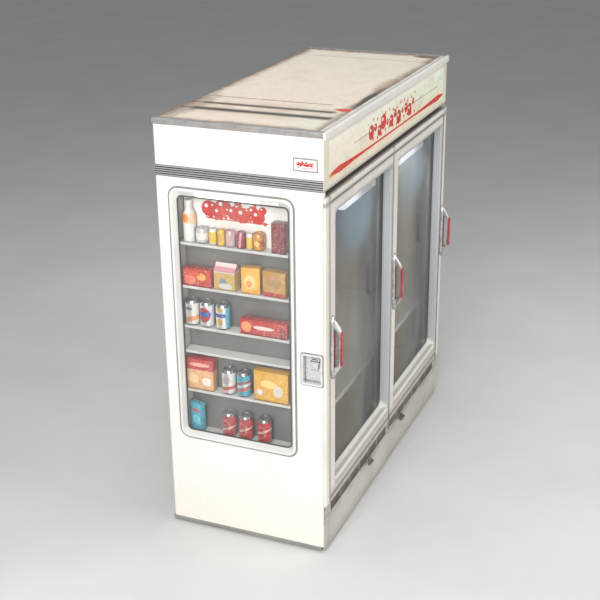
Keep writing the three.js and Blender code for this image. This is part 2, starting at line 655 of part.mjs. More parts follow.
function skirtPanel(i) {
  const [x0, x1] = SKIRT_RANGES[i];
  const inner = [Math.max(x0, WALL + 0.6), Math.min(x1, WIDTH - WALL - 0.6)];
  const radii = [i === 0 ? 3 : 0, i === 1 ? 3 : 0, 0, 0];
  let panel = prismZ(cornered(x0, x1, 0, FACE_SKIN, radii), SKIRT_BOTTOM, SKIRT_TOP);
  panel = panel.add(box(inner[0], inner[1], 3, 14, SKIRT_BOTTOM, SKIRT_TOP));
  const [v0, v1] = SKIRT_VENTS[i];
  panel = panel.subtract(box(v0, v1, -1, 3, 184, 230));
  const columns = 6;
  const pitch = (v1 - v0) / columns;
  for (let c = 0; c < columns; c += 1) {
    for (const z of [189, 203, 217]) {
      panel = panel.subtract(box(v0 + c * pitch + 8, v0 + (c + 1) * pitch - 8, -1, 20, z, z + 8));
    }
  }
  const seam = i === 0 ? 52 : WIDTH - 52;
  panel = panel.subtract(box(seam, seam + 2.5, -1, 1.5, SKIRT_BOTTOM - 1, SKIRT_TOP + 1));
  const [cx, cz] = CATCHES[i];
  return panel.subtract(cylinder(6 + RUNNING, 40, 'y', [cx, 5, cz]));
}

function skirtCatch([x, z]) {
  const dial = cylinder(21, 5, 'y', [x, -2.9, z]);
  const bar = prismX(cornered(-17, -4, z - 6, z + 6, [3, 0, 0, 3]), x - 18, x + 18);
  const stem = cylinder(6, 24, 'y', [x, 9, z]);
  const cam = box(x - 5, x + 5, 15, 21, z - 8, z + 34);
  return joined([dial, bar, stem, cam]);
}

// ---------------------------------------------------------------- assembly
add('base_frame', DARK, baseFrame());
for (const [spot, x, y] of FOOT_SPOTS) add(`foot_${spot}`, RUBBER, foot(x, y));
add('end_panel_display', WHITE, endPanelNear());
add('end_panel_plain', WHITE, endPanelBlank(WIDTH - WALL, WIDTH, false));
add('back_panel', GREY, backPanel());
add('power_inlet', RUBBER, powerInlet());
add('top_panel', CREAM, topPanel());
add('top_trim_front', WHITE, topTrimFront());
add('cap_strip_display_end', STEEL, capStrip(-4, WALL - 5 - GAP, true));
add('cap_strip_plain_end', STEEL, capStrip(WIDTH - WALL + 5 + GAP, WIDTH + 4, false));
add('ribbed_band_display_end', STEEL, ribbedBand(-TRIM_PROUD, -GAP, true));
add('ribbed_band_plain_end', STEEL, ribbedBand(WIDTH + GAP, WIDTH + TRIM_PROUD, false));
add('badge_plate', WHITE, prismX(rounded(26, 134, 1831, 1886, 5), -3.3, -GAP));
add('header_box', CREAM, headerBox());
add('sign_panel', CREAM, signPanel());
add('door_frame', CREAM, doorFrame());
for (let i = 0; i < LEAF_LEFT.length; i += 1) {
  const n = i + 1;
  add(`door_${n}_leaf`, CREAM, doorLeaf(i));
  add(`door_${n}_glass`, GLASS, doorGlass(i));
  add(`door_${n}_gasket`, RUBBER, doorGasket(i));
  add(`door_${n}_pull`, CHROME, pull(PULL_X[i]));
  add(`door_${n}_pivot_pin`, STEEL, pivotPin(i));
  add(`door_${n}_pivot_bracket`, STEEL, pivotBracket(i));
  add(`bay_${n}_shelf`, WHITE, bayShelf(BAY_SHELVES[i]));
  add(`bay_${n}_lamp`, LIT, bayLamp(BAY_LAMPS[i]));
  add(`skirt_panel_${n}`, CREAM, skirtPanel(i));
  add(`skirt_catch_${n}`, STEEL, skirtCatch(CATCHES[i]));
}
add('fixed_pull', CHROME, pull(PULL_X[2]));
add('window_bezel', WHITE, windowBezel());
add('window_glass', GLASS, windowGlass());
add('display_case', GREY, displayCase());
DISPLAY_SHELVES.forEach((top, i) => add(`display_shelf_${i + 1}`, WHITE, displayShelf(top)));
add('display_header_card', WHITE, headerCard());
add('display_lamp', LIT, displayLamp());
add('coin_bezel', CHROME, coinBezel());
add('coin_slot_plate', WHITE, coinSlotPlate());
add('coin_return_flap', STEEL, coinReturnFlap());
add('coin_box', STEEL, coinBox());
add('compartment_liner', GREY, liner());
add('evaporator_coil', COPPER, evaporator());
add('evaporator_fan', DARK, evaporatorFan());
add('condenser_coil', COPPER, condenser());
add('condenser_fan', DARK, condenserFan());
add('compressor', DARK, compressor());

export default machine;
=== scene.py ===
import math

import bmesh
import bpy
from mathutils import Matrix, Vector


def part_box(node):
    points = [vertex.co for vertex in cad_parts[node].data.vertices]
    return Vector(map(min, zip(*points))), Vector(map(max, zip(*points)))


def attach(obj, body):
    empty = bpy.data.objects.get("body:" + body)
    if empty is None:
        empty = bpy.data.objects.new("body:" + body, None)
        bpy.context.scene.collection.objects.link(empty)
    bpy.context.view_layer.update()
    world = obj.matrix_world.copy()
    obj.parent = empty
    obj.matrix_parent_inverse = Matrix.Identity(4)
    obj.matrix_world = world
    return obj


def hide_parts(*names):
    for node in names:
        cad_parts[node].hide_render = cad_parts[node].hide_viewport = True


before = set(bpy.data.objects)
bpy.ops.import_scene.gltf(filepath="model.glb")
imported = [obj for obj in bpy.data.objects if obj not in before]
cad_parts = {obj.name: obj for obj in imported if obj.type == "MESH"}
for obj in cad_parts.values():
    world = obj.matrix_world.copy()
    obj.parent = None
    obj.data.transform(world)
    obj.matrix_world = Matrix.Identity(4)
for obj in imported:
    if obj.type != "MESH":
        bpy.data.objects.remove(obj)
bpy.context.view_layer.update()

# Cabinet corner: x runs from the display end, y back from the header face, z up from the floor.
X0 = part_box("end_panel_display")[0].x
Y0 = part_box("sign_panel")[0].y
MM = 0.001


def edges_of(node, inset=0.0):
    """The (x0, x1, y0, y1, z0, z1) sides of a node, in millimetres from the cabinet corner, less inset."""
    low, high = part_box(node)
    sides = (low.x - X0, high.x - X0, low.y - Y0, high.y - Y0, low.z, high.z)
    return [side / MM + (-inset if i % 2 else inset) for i, side in enumerate(sides)]


# Places that several materials share: the first door's left edge and the doors' pitch, the middles of the
# joints around the doors, a door's opening (x from its own left edge), the foot of the ribbed band, the line
# just above the header's foot, and the distance from a rib's crest to the valley beside it.
LEAF = edges_of("door_1_leaf")
LEAF_START, LEAF_PITCH = LEAF[0], edges_of("door_2_leaf")[0] - LEAF[0]
HALF_GAP = (LEAF_PITCH - (LEAF[1] - LEAF[0])) / 2
SEAMS_X = [LEAF_START - HALF_GAP + LEAF_PITCH * i for i in range(3)]
SEAMS_Z = (LEAF[4] - 2, LEAF[5] + HALF_GAP)
MOUTH_X, MOUTH_Z = (73, LEAF[1] - LEAF[0] - 26), (LEAF[4] + 68, LEAF[5] - 52)
BAND_FOOT = edges_of("ribbed_band_display_end")[4]
SIGN_FOOT = edges_of("header_box")[4] + 1.5
RIB_PITCH = 4.9


def at(x, y, z):
    """A point given in millimetres from the cabinet corner, in the row frame."""
    return Vector((X0 + x * MM, Y0 + y * MM, z * MM))


def linear(colour, gain=1.0):
    """A display colour such as "#c8c4be" as a linear colour, darkened by gain."""
    parts = [int(colour[i:i + 2], 16) / 255.0 for i in (1, 3, 5)]
    parts = [c / 12.92 if c <= 0.04045 else ((c + 0.055) / 1.055) ** 2.4 for c in parts]
    return tuple(c * gain for c in parts) + (1.0,)


# ---- shader graphs
class Shader:
    """A principled material with short calls for the nodes it is built from."""

    def __init__(self, name, **sockets):
        self.mat = bpy.data.materials.new(name)
        self.mat.use_nodes = True
        self.tree = self.mat.node_tree
        self.bsdf = next(n for n in self.tree.nodes if n.type == "BSDF_PRINCIPLED")
        for key, value in sockets.items():
            self.bsdf.inputs[key.replace("_", " ")].default_value = value
        where = self.node("ShaderNodeTexCoord")
        self.co = where.outputs["Object"]
        self.facing = where.outputs["Normal"]

    def node(self, kind, **inputs):
        made = self.tree.nodes.new(kind)
        for key, value in inputs.items():
            self.put(made.inputs[key.replace("_", " ")], value)
        return made

    def put(self, socket, value):
        if hasattr(value, "is_output"):
            self.tree.links.new(value, socket)
        else:
            socket.default_value = linear(value) if isinstance(value, str) else value

    def set(self, key, value):
        self.put(self.bsdf.inputs[key], value)

    def math(self, op, a, b=0.0):
        made = self.tree.nodes.new("ShaderNodeMath")
        made.operation = op
        self.put(made.inputs[0], a)
        self.put(made.inputs[1], b)
        return made.outputs[0]

    def add(self, a, b):
        return self.math("ADD", a, b)

    def sub(self, a, b):
        return self.math("SUBTRACT", a, b)

    def mul(self, a, b):
        return self.math("MULTIPLY", a, b)

    def div(self, a, b):
        return self.math("DIVIDE", a, b)

    def most(self, a, b):
        return self.math("MAXIMUM", a, b)

    def least(self, a, b):
        return self.math("MINIMUM", a, b)

    def size(self, a):
        return self.math("ABSOLUTE", a)

    def axes(self, vector=None):
        made = self.node("ShaderNodeSeparateXYZ", Vector=vector or self.co)
        return made.outputs[0], made.outputs[1], made.outputs[2]

    def stretch(self, sx, sy, sz):
        return self.node("ShaderNodeMapping", Vector=self.co, Scale=(sx, sy, sz)).outputs[0]

    def noise(self, scale, detail=3.0, rough=0.55, vector=None, warp=0.0):
        made = self.node("ShaderNodeTexNoise", Vector=vector or self.co, Scale=scale, Detail=detail,
                         Roughness=rough, Distortion=warp)
        return made.outputs["Fac"]

    def cells(self, scale, vector=None):
        return self.node("ShaderNodeTexVoronoi", Vector=vector or self.co, Scale=scale)

    def span(self, value, lo, hi, out_lo=0.0, out_hi=1.0):
        """value taken smoothly from lo..hi to out_lo..out_hi."""
        made = self.tree.nodes.new("ShaderNodeMapRange")
        made.interpolation_type = "SMOOTHSTEP"
        self.put(made.inputs["Value"], value)
        for key, number in (("From Min", lo), ("From Max", hi), ("To Min", out_lo), ("To Max", out_hi)):
            self.put(made.inputs[key], number)
        return made.outputs["Result"]

    def mix(self, fac, a, b, kind="MIX"):
        made = self.tree.nodes.new("ShaderNodeMix")
        made.data_type = "RGBA"
        made.blend_type = kind
        self.put(made.inputs[0], fac)
        self.put(made.inputs[6], a)
        self.put(made.inputs[7], b)
        return made.outputs[2]

    def over(self, tone, colour, mask, amount=None):
        """tone with colour laid over it where mask is 1, at most by amount."""
        return self.mix(mask if amount is None else self.mul(mask, amount), tone, colour)

    def stripe(self, value, centre, fades, full):
        """1 within full of centre, 0 beyond fades."""
        return self.span(self.size(self.sub(value, centre)), fades, full)

    def waver(self, scale, detail, rough, reach):
        """A slow wander either side of zero, at most half of reach."""
        return self.mul(self.sub(self.noise(scale, detail, rough), 0.5), reach)

    def oval(self, u, v, cu, cv, ru, rv):
        """Squared distance from (cu, cv); 1 on an ellipse with half axes ru and rv."""
        du = self.div(self.sub(u, cu), ru)
        dv = self.div(self.sub(v, cv), rv)
        return self.add(self.mul(du, du), self.mul(dv, dv))

    def across_leaf(self):
        """Distance from the left edge of the door leaf."""
        return self.math("MODULO", self.sub(self.axes()[0], X0 + LEAF_START * MM), LEAF_PITCH * MM)

    def crevice(self, distance):
        """1 in corners and joints, 0 in the open, from ambient occlusion; colour laid over it is painted
        shade.
        """
        made = self.node("ShaderNodeAmbientOcclusion", Distance=distance)
        made.samples = 4
        return self.span(made.outputs["AO"], 0.85, 0.35)

    def blob(self, cx, cy, rx, ry, ragged=0.35, plane="xy", scale=18.0):
        """A ragged patch centred on (cx, cy), in millimetres from the cabinet corner in the given plane."""
        x, y, z = self.axes()
        pick = {"x": x, "y": y, "z": z}
        base = {"x": X0, "y": Y0, "z": 0.0}
        u, v = plane
        reach = self.oval(pick[u], pick[v], base[u] + cx * MM, base[v] + cy * MM, rx * MM, ry * MM)
        reach = self.add(self.math("SQRT", reach), self.waver(scale, 5.0, 0.7, 4.0 * ragged))
        return self.span(reach, 1.15, 0.55)

    def bump(self, height, strength, distance, eased=None):
        """Relief from height, over edges rounded by the radius eased if that is given."""
        made = self.node("ShaderNodeBump", Height=height, Strength=strength, Distance=distance)
        if eased:
            round_edge = self.node("ShaderNodeBevel", Radius=eased)
            round_edge.samples = 4
            self.put(made.inputs["Normal"], round_edge.outputs[0])
        self.set("Normal", made.outputs[0])


def enamel(name, base, shade, grime_and_shade_colour, amount, rough=0.34, ease=0.002, drips=0.0, low_tint=None, reach=0.025,
           details=None):
    """Stoved enamel: cloudy tone, dark specks and drips, painted shade and staining in the joints, fine
    scratches and orange peel.
    """
    s = Shader(name, Coat_Weight=0.25, Coat_Roughness=0.15)
    tone = s.mix(s.span(s.noise(2.2, 4.0), 0.35, 0.7), base, shade)
    if details:
        tone = details(s, tone)
    if low_tint:
        z = s.axes()[2]
        tone = s.over(tone, low_tint, s.span(s.add(z, s.mul(s.noise(3.0), 0.2)), 0.62, 0.12))
    if drips:
        runs = s.noise(9.0, 4.0, 0.6, vector=s.stretch(6.0, 6.0, 0.5))
        tone = s.over(tone, grime_and_shade_colour, s.span(runs, 0.55, 0.78), drips)
    specks = s.noise(140.0, 2.0, 0.6)
    tone = s.over(tone, grime_and_shade_colour, s.span(specks, 0.66, 0.8), 0.25)
    # Painted shade: darkened in corners and joints by ambient occlusion, made patchy by noise as staining.
    crevice_shade_and_grime = s.mul(s.crevice(reach), s.span(s.noise(14.0, 5.0, 0.7), 0.25, 0.75, 0.55, 1.0))
    s.set("Base Color", s.over(tone, grime_and_shade_colour, crevice_shade_and_grime, amount))
    scuff = s.noise(60.0, 4.0, 0.7, vector=s.stretch(1.0, 1.0, 0.15))
    s.set("Roughness", s.add(s.span(scuff, 0.3, 0.75, rough - 0.08, rough + 0.16), s.mul(crevice_shade_and_grime, 0.2)))
    s.bump(s.noise(520.0, 2.0), 0.25, 0.0004, ease)
    return s.mat


def metal(name, base, dark, rough, grain, grain_scale, metallic, ease=0.001, spots=None, spot_amount=0.0):
    """Metal with a brushed grain, fingerprints and painted shade in its crevices."""
    s = Shader(name, Metallic=metallic)
    lines = s.noise(grain_scale, 3.0, 0.6, vector=s.stretch(*grain))
    smear = s.noise(22.0, 4.0, 0.6)
    tone = s.mix(s.span(s.add(s.mul(lines, 0.5), s.mul(smear, 0.5)), 0.36, 0.66), dark, base)
    if spots:
        tone = s.over(tone, spots, s.span(s.noise(55.0, 6.0, 0.75), 0.56, 0.7), spot_amount)
    # Painted shade in crevices, from ambient occlusion.
    tone = s.over(tone, "#282624", s.crevice(0.012), 0.55)
    s.set("Base Color", tone)
    shine = s.add(s.mul(lines, 0.6), s.mul(smear, 0.4))
    s.set("Roughness", s.span(shine, 0.3, 0.7, rough - 0.1, rough + 0.14))
    s.bump(lines, 0.12, 0.0003, ease)
    return s.mat


def plastic(name, base, shade, rough, grain, wear=None):
    """Moulded plastic, rubber or ink with painted shade in its corners and an optional worn tone."""
    s = Shader(name)
    tone = s.mix(s.span(s.noise(12.0, 4.0), 0.35, 0.7), base, shade)
    if wear:
        tone = s.over(tone, wear, s.span(s.noise(38.0, 6.0, 0.75), 0.52, 0.7), 0.75)
    # Painted shade in corners, from ambient occlusion.
    s.set("Base Color", s.over(tone, "#1e1a18", s.crevice(0.01), 0.5))
    s.set("Roughness", s.span(s.noise(70.0, 4.0, 0.65), 0.3, 0.7, rough - 0.1, rough + 0.12))
    s.bump(s.noise(900.0, 2.0), grain, 0.0003, 0.0006)
    return s.mat


def glowing(name, colour, strength, edge, lit_from=None):
    """An opal lamp cover with faint moulding streaks; lit_from leaves the end nearer the doors dark."""
    s = Shader(name, Roughness=0.4, Emission_Strength=strength)
    if lit_from:
        start, full = Y0 + (lit_from - 12) * MM, Y0 + (lit_from + 6) * MM
        s.set("Emission Strength", s.span(s.axes()[1], start, full, 0.05, strength))
    streaks = s.span(s.noise(26.0, 3.0, 0.5, vector=s.stretch(0.4, 1.0, 6.0)), 0.3, 0.7)
    s.set("Base Color", s.mix(streaks, colour, edge))
    s.set("Emission Color", s.mix(streaks, colour, edge))
    s.bump(s.noise(300.0), 0.1, 0.0003)
    return s.mat


def pane(name, tint, glow_tint, alpha, rough=0.06, sided=False):
    """Glass with a faint wiped haze, its upper part tinted towards a second colour as a painted glow. A
    door's pane also has a painted cool glow under its lamp, painted shade in a corner beside it and on its
    hinge side."""
    s = Shader(name, Roughness=rough, IOR=1.5, Specular_IOR_Level=0.5)
    wipe = s.noise(5.0, 5.0, 0.65, vector=s.stretch(1.0, 1.0, 0.35), warp=0.6)
    # Painted glow: the upper part of the pane is tinted towards the glow colour, for the light of the lamp
    # behind it.
    high = s.span(s.axes()[2], 1.2, 1.62)
    haze = s.mix(high, tint, glow_tint)
    cover = s.span(wipe, 0.3, 0.8, alpha, alpha + 0.07)
    if sided:
        z = s.axes()[2]
        along = s.across_leaf()
        # Painted shade and light: darker towards the hinge side and a little by the other edge, a dark corner
        # beside the lamp, a cool glow under it; the pane is a little less clear where they lie.
        dim = s.most(s.span(along, 0.42, 0.6), s.mul(s.span(along, 0.2, 0.06), 0.35))
        dim = s.mul(dim, 0.9)
        bloom = s.span(s.oval(along, z, 0.48, 1.5, 0.27, 0.24), 1.0, 0.0)
        below_lamp = s.span(z, 1.585, 1.55)
        bloom = s.mul(bloom, below_lamp)
        corner = s.mul(s.span(along, 0.24, 0.1), s.span(z, 1.42, 1.6))
        haze = s.mix(dim, haze, "#383a3b")
        haze = s.mix(corner, haze, "#3e4850")
        haze = s.mix(bloom, haze, "#8aa4b1")
        extra = s.most(s.most(dim, s.mul(corner, 0.6)), s.mul(bloom, 0.4))
        cover = s.add(cover, s.mul(extra, 0.28))
    s.set("Base Color", s.mix(s.mul(s.span(wipe, 0.35, 0.7), 0.2), haze, "#c8cccc"))
    s.set("Alpha", cover)
    s.set("Roughness", s.span(wipe, 0.35, 0.75, rough, rough + 0.05))
    return s.mat


def roof_paint():
    """Cream enamel gone brown at its edges and around its grooves, painted shade along the grooves and in its
    corners, with soot along the front lip.
    """
    s = Shader("roof_paint", Coat_Weight=0.15, Coat_Roughness=0.3)
    x, y, _ = s.axes()
    lo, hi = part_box("top_panel")
    tone = s.mix(s.span(s.noise(1.4, 3.0), 0.35, 0.65), "#e6d7c7", "#dfdbcb")
    tone = s.over(tone, "#cdbca6", s.span(s.noise(7.0, 5.0, 0.6), 0.5, 0.72), 0.35)
    edge = s.least(s.least(s.sub(x, lo.x), s.sub(hi.x, x)), s.least(s.sub(y, lo.y), s.sub(hi.y, y)))
    ragged = s.sub(edge, s.mul(s.noise(8.0, 6.0, 0.7), 0.085))
    tone = s.over(tone, "#806046", s.span(ragged, 0.02, -0.045), 0.85)
    tone = s.over(tone, "#5c4230", s.span(edge, 0.016, 0.0), 0.5)
    between_grooves = s.stripe(x, X0 + 0.31, 0.19, 0.06)
    tint = s.mul(between_grooves, s.span(s.noise(5.0, 6.0, 0.7), 0.38, 0.66))
    tone = s.over(tone, "#b09276", tint, 0.45)
    # Painted shade: soft grey lines along the pressed grooves, strongest on the nearest.
    for groove, wide, front, depth in ((254, 46, 50, 0.9), (366, 34, 70, 0.8), (502, 13, 130, 0.45)):
        off = s.add(s.size(s.sub(x, X0 + groove * MM)), s.waver(12.0, 4.0, 0.6, 0.012))
        line = s.span(off, wide * MM, wide * 0.2 * MM)
        within = s.span(y, Y0 + front * MM, Y0 + (front + 30) * MM)
        within = s.mul(within, s.span(y, Y0 + 745 * MM, Y0 + 715 * MM))
        tone = s.over(tone, "#484543", s.mul(line, within), depth)
    tone = s.over(tone, "#3e3a38", s.blob(690, 44, 240, 30, 0.2), 0.92)
    tone = s.over(tone, "#8c7460", s.blob(1000, 60, 250, 45, 0.4), 0.45)
    tone = s.over(tone, "#463e38", s.blob(1752, 96, 34, 80, 0.3), 0.85)
    tone = s.over(tone, "#74685e", s.blob(300, 742, 300, 62, 0.3), 0.5)
    tone = s.over(tone, "#ce4834", s.blob(424, 64, 34, 52, 0.22, scale=30.0))
    # Painted shade in corners, from ambient occlusion.
    tone = s.over(tone, "#464240", s.crevice(0.012), 0.9)
    s.set("Base Color", tone)
    s.set("Roughness", s.span(s.noise(30.0, 5.0, 0.7), 0.3, 0.7, 0.34, 0.62))
    s.bump(s.noise(300.0, 4.0, 0.6), 0.3, 0.0005, 0.002)
    return s.mat


def sign_print():
    """Printed header board: cream into pale green, scuffed, with stains along its lower edge."""
    s = Shader("sign_print", Coat_Weight=0.3, Coat_Roughness=0.2)
    x, _, z = s.axes()
    along = s.span(s.add(x, s.mul(z, 2.0)), 2.6, 4.9)
    tone = s.mix(along, "#f0e6d2", "#e8eed4")
    tone = s.over(tone, "#e8d2b6", s.span(z, 1.87, 1.79), 0.6)
    tone = s.over(tone, "#f6f4ea", s.span(z, 1.9, 1.945), 0.5)
    tone = s.over(tone, "#baa88c", s.span(s.noise(9.0, 6.0, 0.72), 0.52, 0.72), 0.45)
    flecks = s.span(s.noise(34.0, 5.0, 0.75, vector=s.stretch(0.6, 1.0, 1.4)), 0.62, 0.7)
    tone = s.over(tone, "#f0eee6", flecks, 0.8)
    scuffs = s.span(s.noise(26.0, 6.0, 0.8, vector=s.stretch(0.5, 1.0, 1.8)), 0.64, 0.74)
    tone = s.over(tone, "#787062", scuffs, 0.55)
    s.set("Base Color", tone)
    s.set("Roughness", s.span(s.noise(40.0, 4.0), 0.3, 0.7, 0.25, 0.5))
    s.bump(s.noise(240.0, 3.0), 0.15, 0.0003, 0.001)
    return s.mat


def ribbed():
    """Ribbed trim strip: bright crests, dull brushed flanks, painted shade in the dark valleys."""
    s = Shader("ribbed_metal", Metallic=0.6)
    z = s.axes()[2]
    rise = s.math("PINGPONG", s.sub(z, (BAND_FOOT + 1.1) * MM), RIB_PITCH * MM)
    brushed = s.noise(420.0, 2.0, 0.5, vector=s.stretch(1.0, 0.05, 1.0))
    tone = s.mix(s.span(brushed, 0.3, 0.7), "#cecece", "#b8b8b9")
    # Painted shade: dark in the valleys between the ribs.
    tone = s.over(tone, "#403e3e", s.span(rise, 2.6 * MM, 1.2 * MM))
    tone = s.over(tone, "#7c7064", s.span(s.noise(6.0, 5.0, 0.7), 0.52, 0.75), 0.3)
    s.set("Base Color", tone)
    s.set("Roughness", s.span(brushed, 0.3, 0.7, 0.26, 0.44))
    s.bump(brushed, 0.1, 0.0003, 0.0008)
    return s.mat


def coin_metal():
    """Plated coin cup: bright rim, painted shade growing towards the back of the cup and in its corners."""
    s = Shader("coin_metal", Metallic=0.35, Coat_Weight=0.3, Coat_Roughness=0.1)
    x = s.axes()[0]
    smear = s.noise(40.0, 4.0, 0.6)
    tone = s.mix(s.span(smear, 0.35, 0.7), "#e8e8ea", "#d6d6da")
    # Painted shade: darker with depth into the cup, and in its corners from ambient occlusion.
    tone = s.over(tone, "#ceced2", s.span(x, X0, X0 + 0.02))
    tone = s.over(tone, "#343438", s.crevice(0.014), 0.8)
    tone = s.over(tone, "#787068", s.span(s.noise(120.0, 4.0, 0.7), 0.62, 0.74), 0.3)
    s.set("Base Color", tone)
    s.set("Roughness", s.span(smear, 0.3, 0.7, 0.2, 0.38))
    s.bump(s.noise(300.0, 3.0), 0.08, 0.0003, 0.0015)
    return s.mat


def header_details(s, tone):
    """Painted shade on the header's underside and along its bottom edge."""
    z = s.axes()[2]
    under = s.span(s.axes(s.facing)[2], -0.6, -0.8)
    # Painted shade: darker along the bottom edge and on faces turned down.
    tone = s.over(tone, "#766f67", s.span(z, 1.763, SIGN_FOOT * MM), 0.55)
    return s.over(tone, "#3c3732", under)


def seam_shade(s, tone):
    """Painted shade either side of the joint around each door leaf, on the leaf and on the frame beside it.
    """
    x, _, z = s.axes()
    near = s.least(s.size(s.sub(z, SEAMS_Z[0] * MM)), s.size(s.sub(z, SEAMS_Z[1] * MM)))
    for edge in SEAMS_X:
        near = s.least(near, s.size(s.sub(x, X0 + edge * MM)))
    # Painted shade: a soft grey band fading out over 17 mm from each joint.
    soft = s.span(s.add(near, s.waver(20.0, 4.0, 0.7, 7 * MM)), 17 * MM, 2 * MM)
    return s.over(tone, "#7c756c", soft, 0.7)


def leaf_reveal(s, tone):
    """Painted light and shade on a door leaf: tinted bevels around its glass, shade where they meet its face
    and on its rolled lower rail.
    """
    _, y, z = s.axes()
    nx, _, nz = s.axes(s.facing)
    inner = s.span(y, Y0 - 6 * MM, Y0 - 2 * MM)
    along = s.across_leaf()
    # Painted shade: a soft grey line round the glass where the face rolls into the bevels.
    beyond = s.most(s.sub(MOUTH_X[0] * MM, along), s.sub(along, MOUTH_X[1] * MM))
    beyond = s.most(beyond, s.most(s.sub(MOUTH_Z[0] * MM, z), s.sub(z, MOUTH_Z[1] * MM)))
    soft = s.span(s.add(beyond, s.waver(14.0, 4.0, 0.6, 8 * MM)), 18 * MM, 3 * MM)
    tone = s.over(tone, "#8e8a82", s.mul(soft, s.sub(1.0, inner)), 0.6)
    # Painted shade over the lower rail, and a darker line along its roll.
    tone = s.over(tone, "#a0998f", s.span(z, 0.325, 0.275), 0.65)
    roll = s.stripe(z, 0.272, 0.013, 0.005)
    tone = s.over(tone, "#5c564f", roll, 0.8)
    # Painted light: bevels facing the near end get a cool tint with darker lines every 6 mm; bevels facing up
    # a paler tone.
    lines = s.span(s.math("PINGPONG", y, 6 * MM), 1.4 * MM, 0.6 * MM)
    cool = s.mix(s.mul(lines, 0.45), "#c5c8cc", "#848a92")
    tone = s.over(tone, cool, inner, s.span(nx, -0.3, -0.7))
    tone = s.over(tone, "#e2dfd8", inner, s.span(nz, 0.3, 0.7))
    # Painted shade: a grey line along the sill bevel.
    bead_shade = s.stripe(z, 0.334, 0.008, 0.002)
    tone = s.over(tone, "#8a867e", s.mul(bead_shade, s.span(nz, 0.2, 0.5)), 0.6)
    return seam_shade(s, tone)


def skirt_grille(s, tone):
    """Painted shade and grime in the recessed vent strip and smudges around it; a dark line under the door
    frame.
    """
    _, y, z = s.axes()
    # Painted shade and grime: the recessed vent strip darkened, with darker lines between its slats and
    # patchy noise.
    strip = s.mul(s.span(y, Y0 + 0.6 * MM, Y0 + 1.6 * MM), s.span(z, 0.178, 0.184))
    fine = s.span(s.math("PINGPONG", z, 3.2 * MM), 1.9 * MM, 1.1 * MM)
    soot = s.mix(fine, "#a8a196", "#686158")
    soot = s.mix(s.span(s.noise(9.0, 5.0, 0.7), 0.4, 0.65), soot, "#70685f")
    tone = s.over(tone, soot, strip)
    near = s.stripe(z, 0.196, 0.07, 0.02)
    smudge = s.mul(near, s.span(s.noise(13.0, 6.0, 0.75, vector=s.stretch(0.5, 1.0, 1.6)), 0.4, 0.6))
    tone = s.over(tone, "#6c645a", smudge, 0.7)
    for catch in ("skirt_catch_1", "skirt_catch_2"):
        left, right, _, _, foot, head = edges_of(catch)
        smear = s.blob((left + right) / 2 - 22, (foot + head) / 2 + 24, 80, 24, 0.35, "xz", 26.0)
        tone = s.over(tone, "#5c554d", smear, 0.75)
    tone = s.over(tone, "#847e74", s.span(z, 0.07, 0.02), 0.35)
    under_frame = s.span(z, 0.225, 0.231)
    tone = s.over(tone, "#544c44", under_frame, 0.75)
    return s.over(tone, "#786e62", s.span(z, 0.176, 0.1815), s.span(z, 0.1865, 0.182))


def frame_details(s, tone):
    """Door frame: painted shade beside its joints, a dark foot, and a top that falls into shadow behind the
    header.
    """
    _, y, z = s.axes()
    tone = seam_shade(s, tone)
    tone = s.over(tone, "#544c44", s.span(z, 0.2405, 0.2375), 0.7)
    top = s.mul(s.span(s.axes(s.facing)[2], 0.6, 0.8), s.span(z, 1.70, 1.72))
    back = s.span(y, Y0 - 2 * MM, Y0 + 12 * MM)
    return s.over(tone, "#968e84", top, back)


def case_details(s, tone):
    """The display case's side walls catch the light; its back is duller."""
    ny = s.size(s.axes(s.facing)[1])
    nz = s.axes(s.facing)[2]
    tone = s.over(tone, "#cececc", s.span(ny, 0.5, 0.8))
    # Painted light: faces turned up, low in the case, are paler.
    return s.over(tone, "#dededb", s.span(nz, 0.5, 0.8), s.span(s.axes()[2], 0.6, 0.5))


def shelf_details(s, tone):
    """Compartment shelves: painted shade on the flat faces behind the front lip, and a painted highlight on
    the lip itself.
    """
    y = s.axes()[1]
    nz = s.axes(s.facing)[2]
    front, back = Y0 + 93 * MM, Y0 + 96 * MM
    # Painted shade on the shelf's flat faces; the lip is painted near-white as a highlight.
    flat = s.mul(s.span(s.size(nz), 0.5, 0.8), s.span(y, front, back))
    lip = s.span(y, back, front)
    return s.mix(lip, s.over(tone, "#9e9991", flat), "#fffefa")


def lip_details(s, tone):
    """A dull seam runs along the rolled lip; soot has settled behind it."""
    y = s.axes()[1]
    seam = s.stripe(y, Y0 + 8 * MM, 3.4 * MM, 1.6 * MM)
    tone = s.over(tone, "#7a7a7c", seam, 0.7)
    behind = s.mul(s.span(y, Y0 + 12 * MM, Y0 + 28 * MM), s.span(s.noise(7.0, 5.0, 0.7), 0.35, 0.62))
    return s.over(tone, "#807062", behind, 0.6)


def galvanised():
    """Zinc sheet with a faint spangle."""
    s = Shader("zinc_sheet", Metallic=0.35)
    spangle = s.cells(60.0)
    tone = s.mix(s.span(spangle.outputs["Distance"], 0.1, 0.9), "#b0b1b1", "#a2a4a5")
    tone = s.over(tone, "#8c847a", s.span(s.noise(3.0, 5.0, 0.7), 0.5, 0.75), 0.35)
    # Painted shade in corners, from ambient occlusion.
    s.set("Base Color", s.over(tone, "#2c2a28", s.crevice(0.02), 0.6))
    s.set("Roughness", s.span(s.noise(30.0), 0.3, 0.7, 0.32, 0.55))
    s.bump(spangle.outputs["Distance"], 0.03, 0.0003, 0.001)
    return s.mat


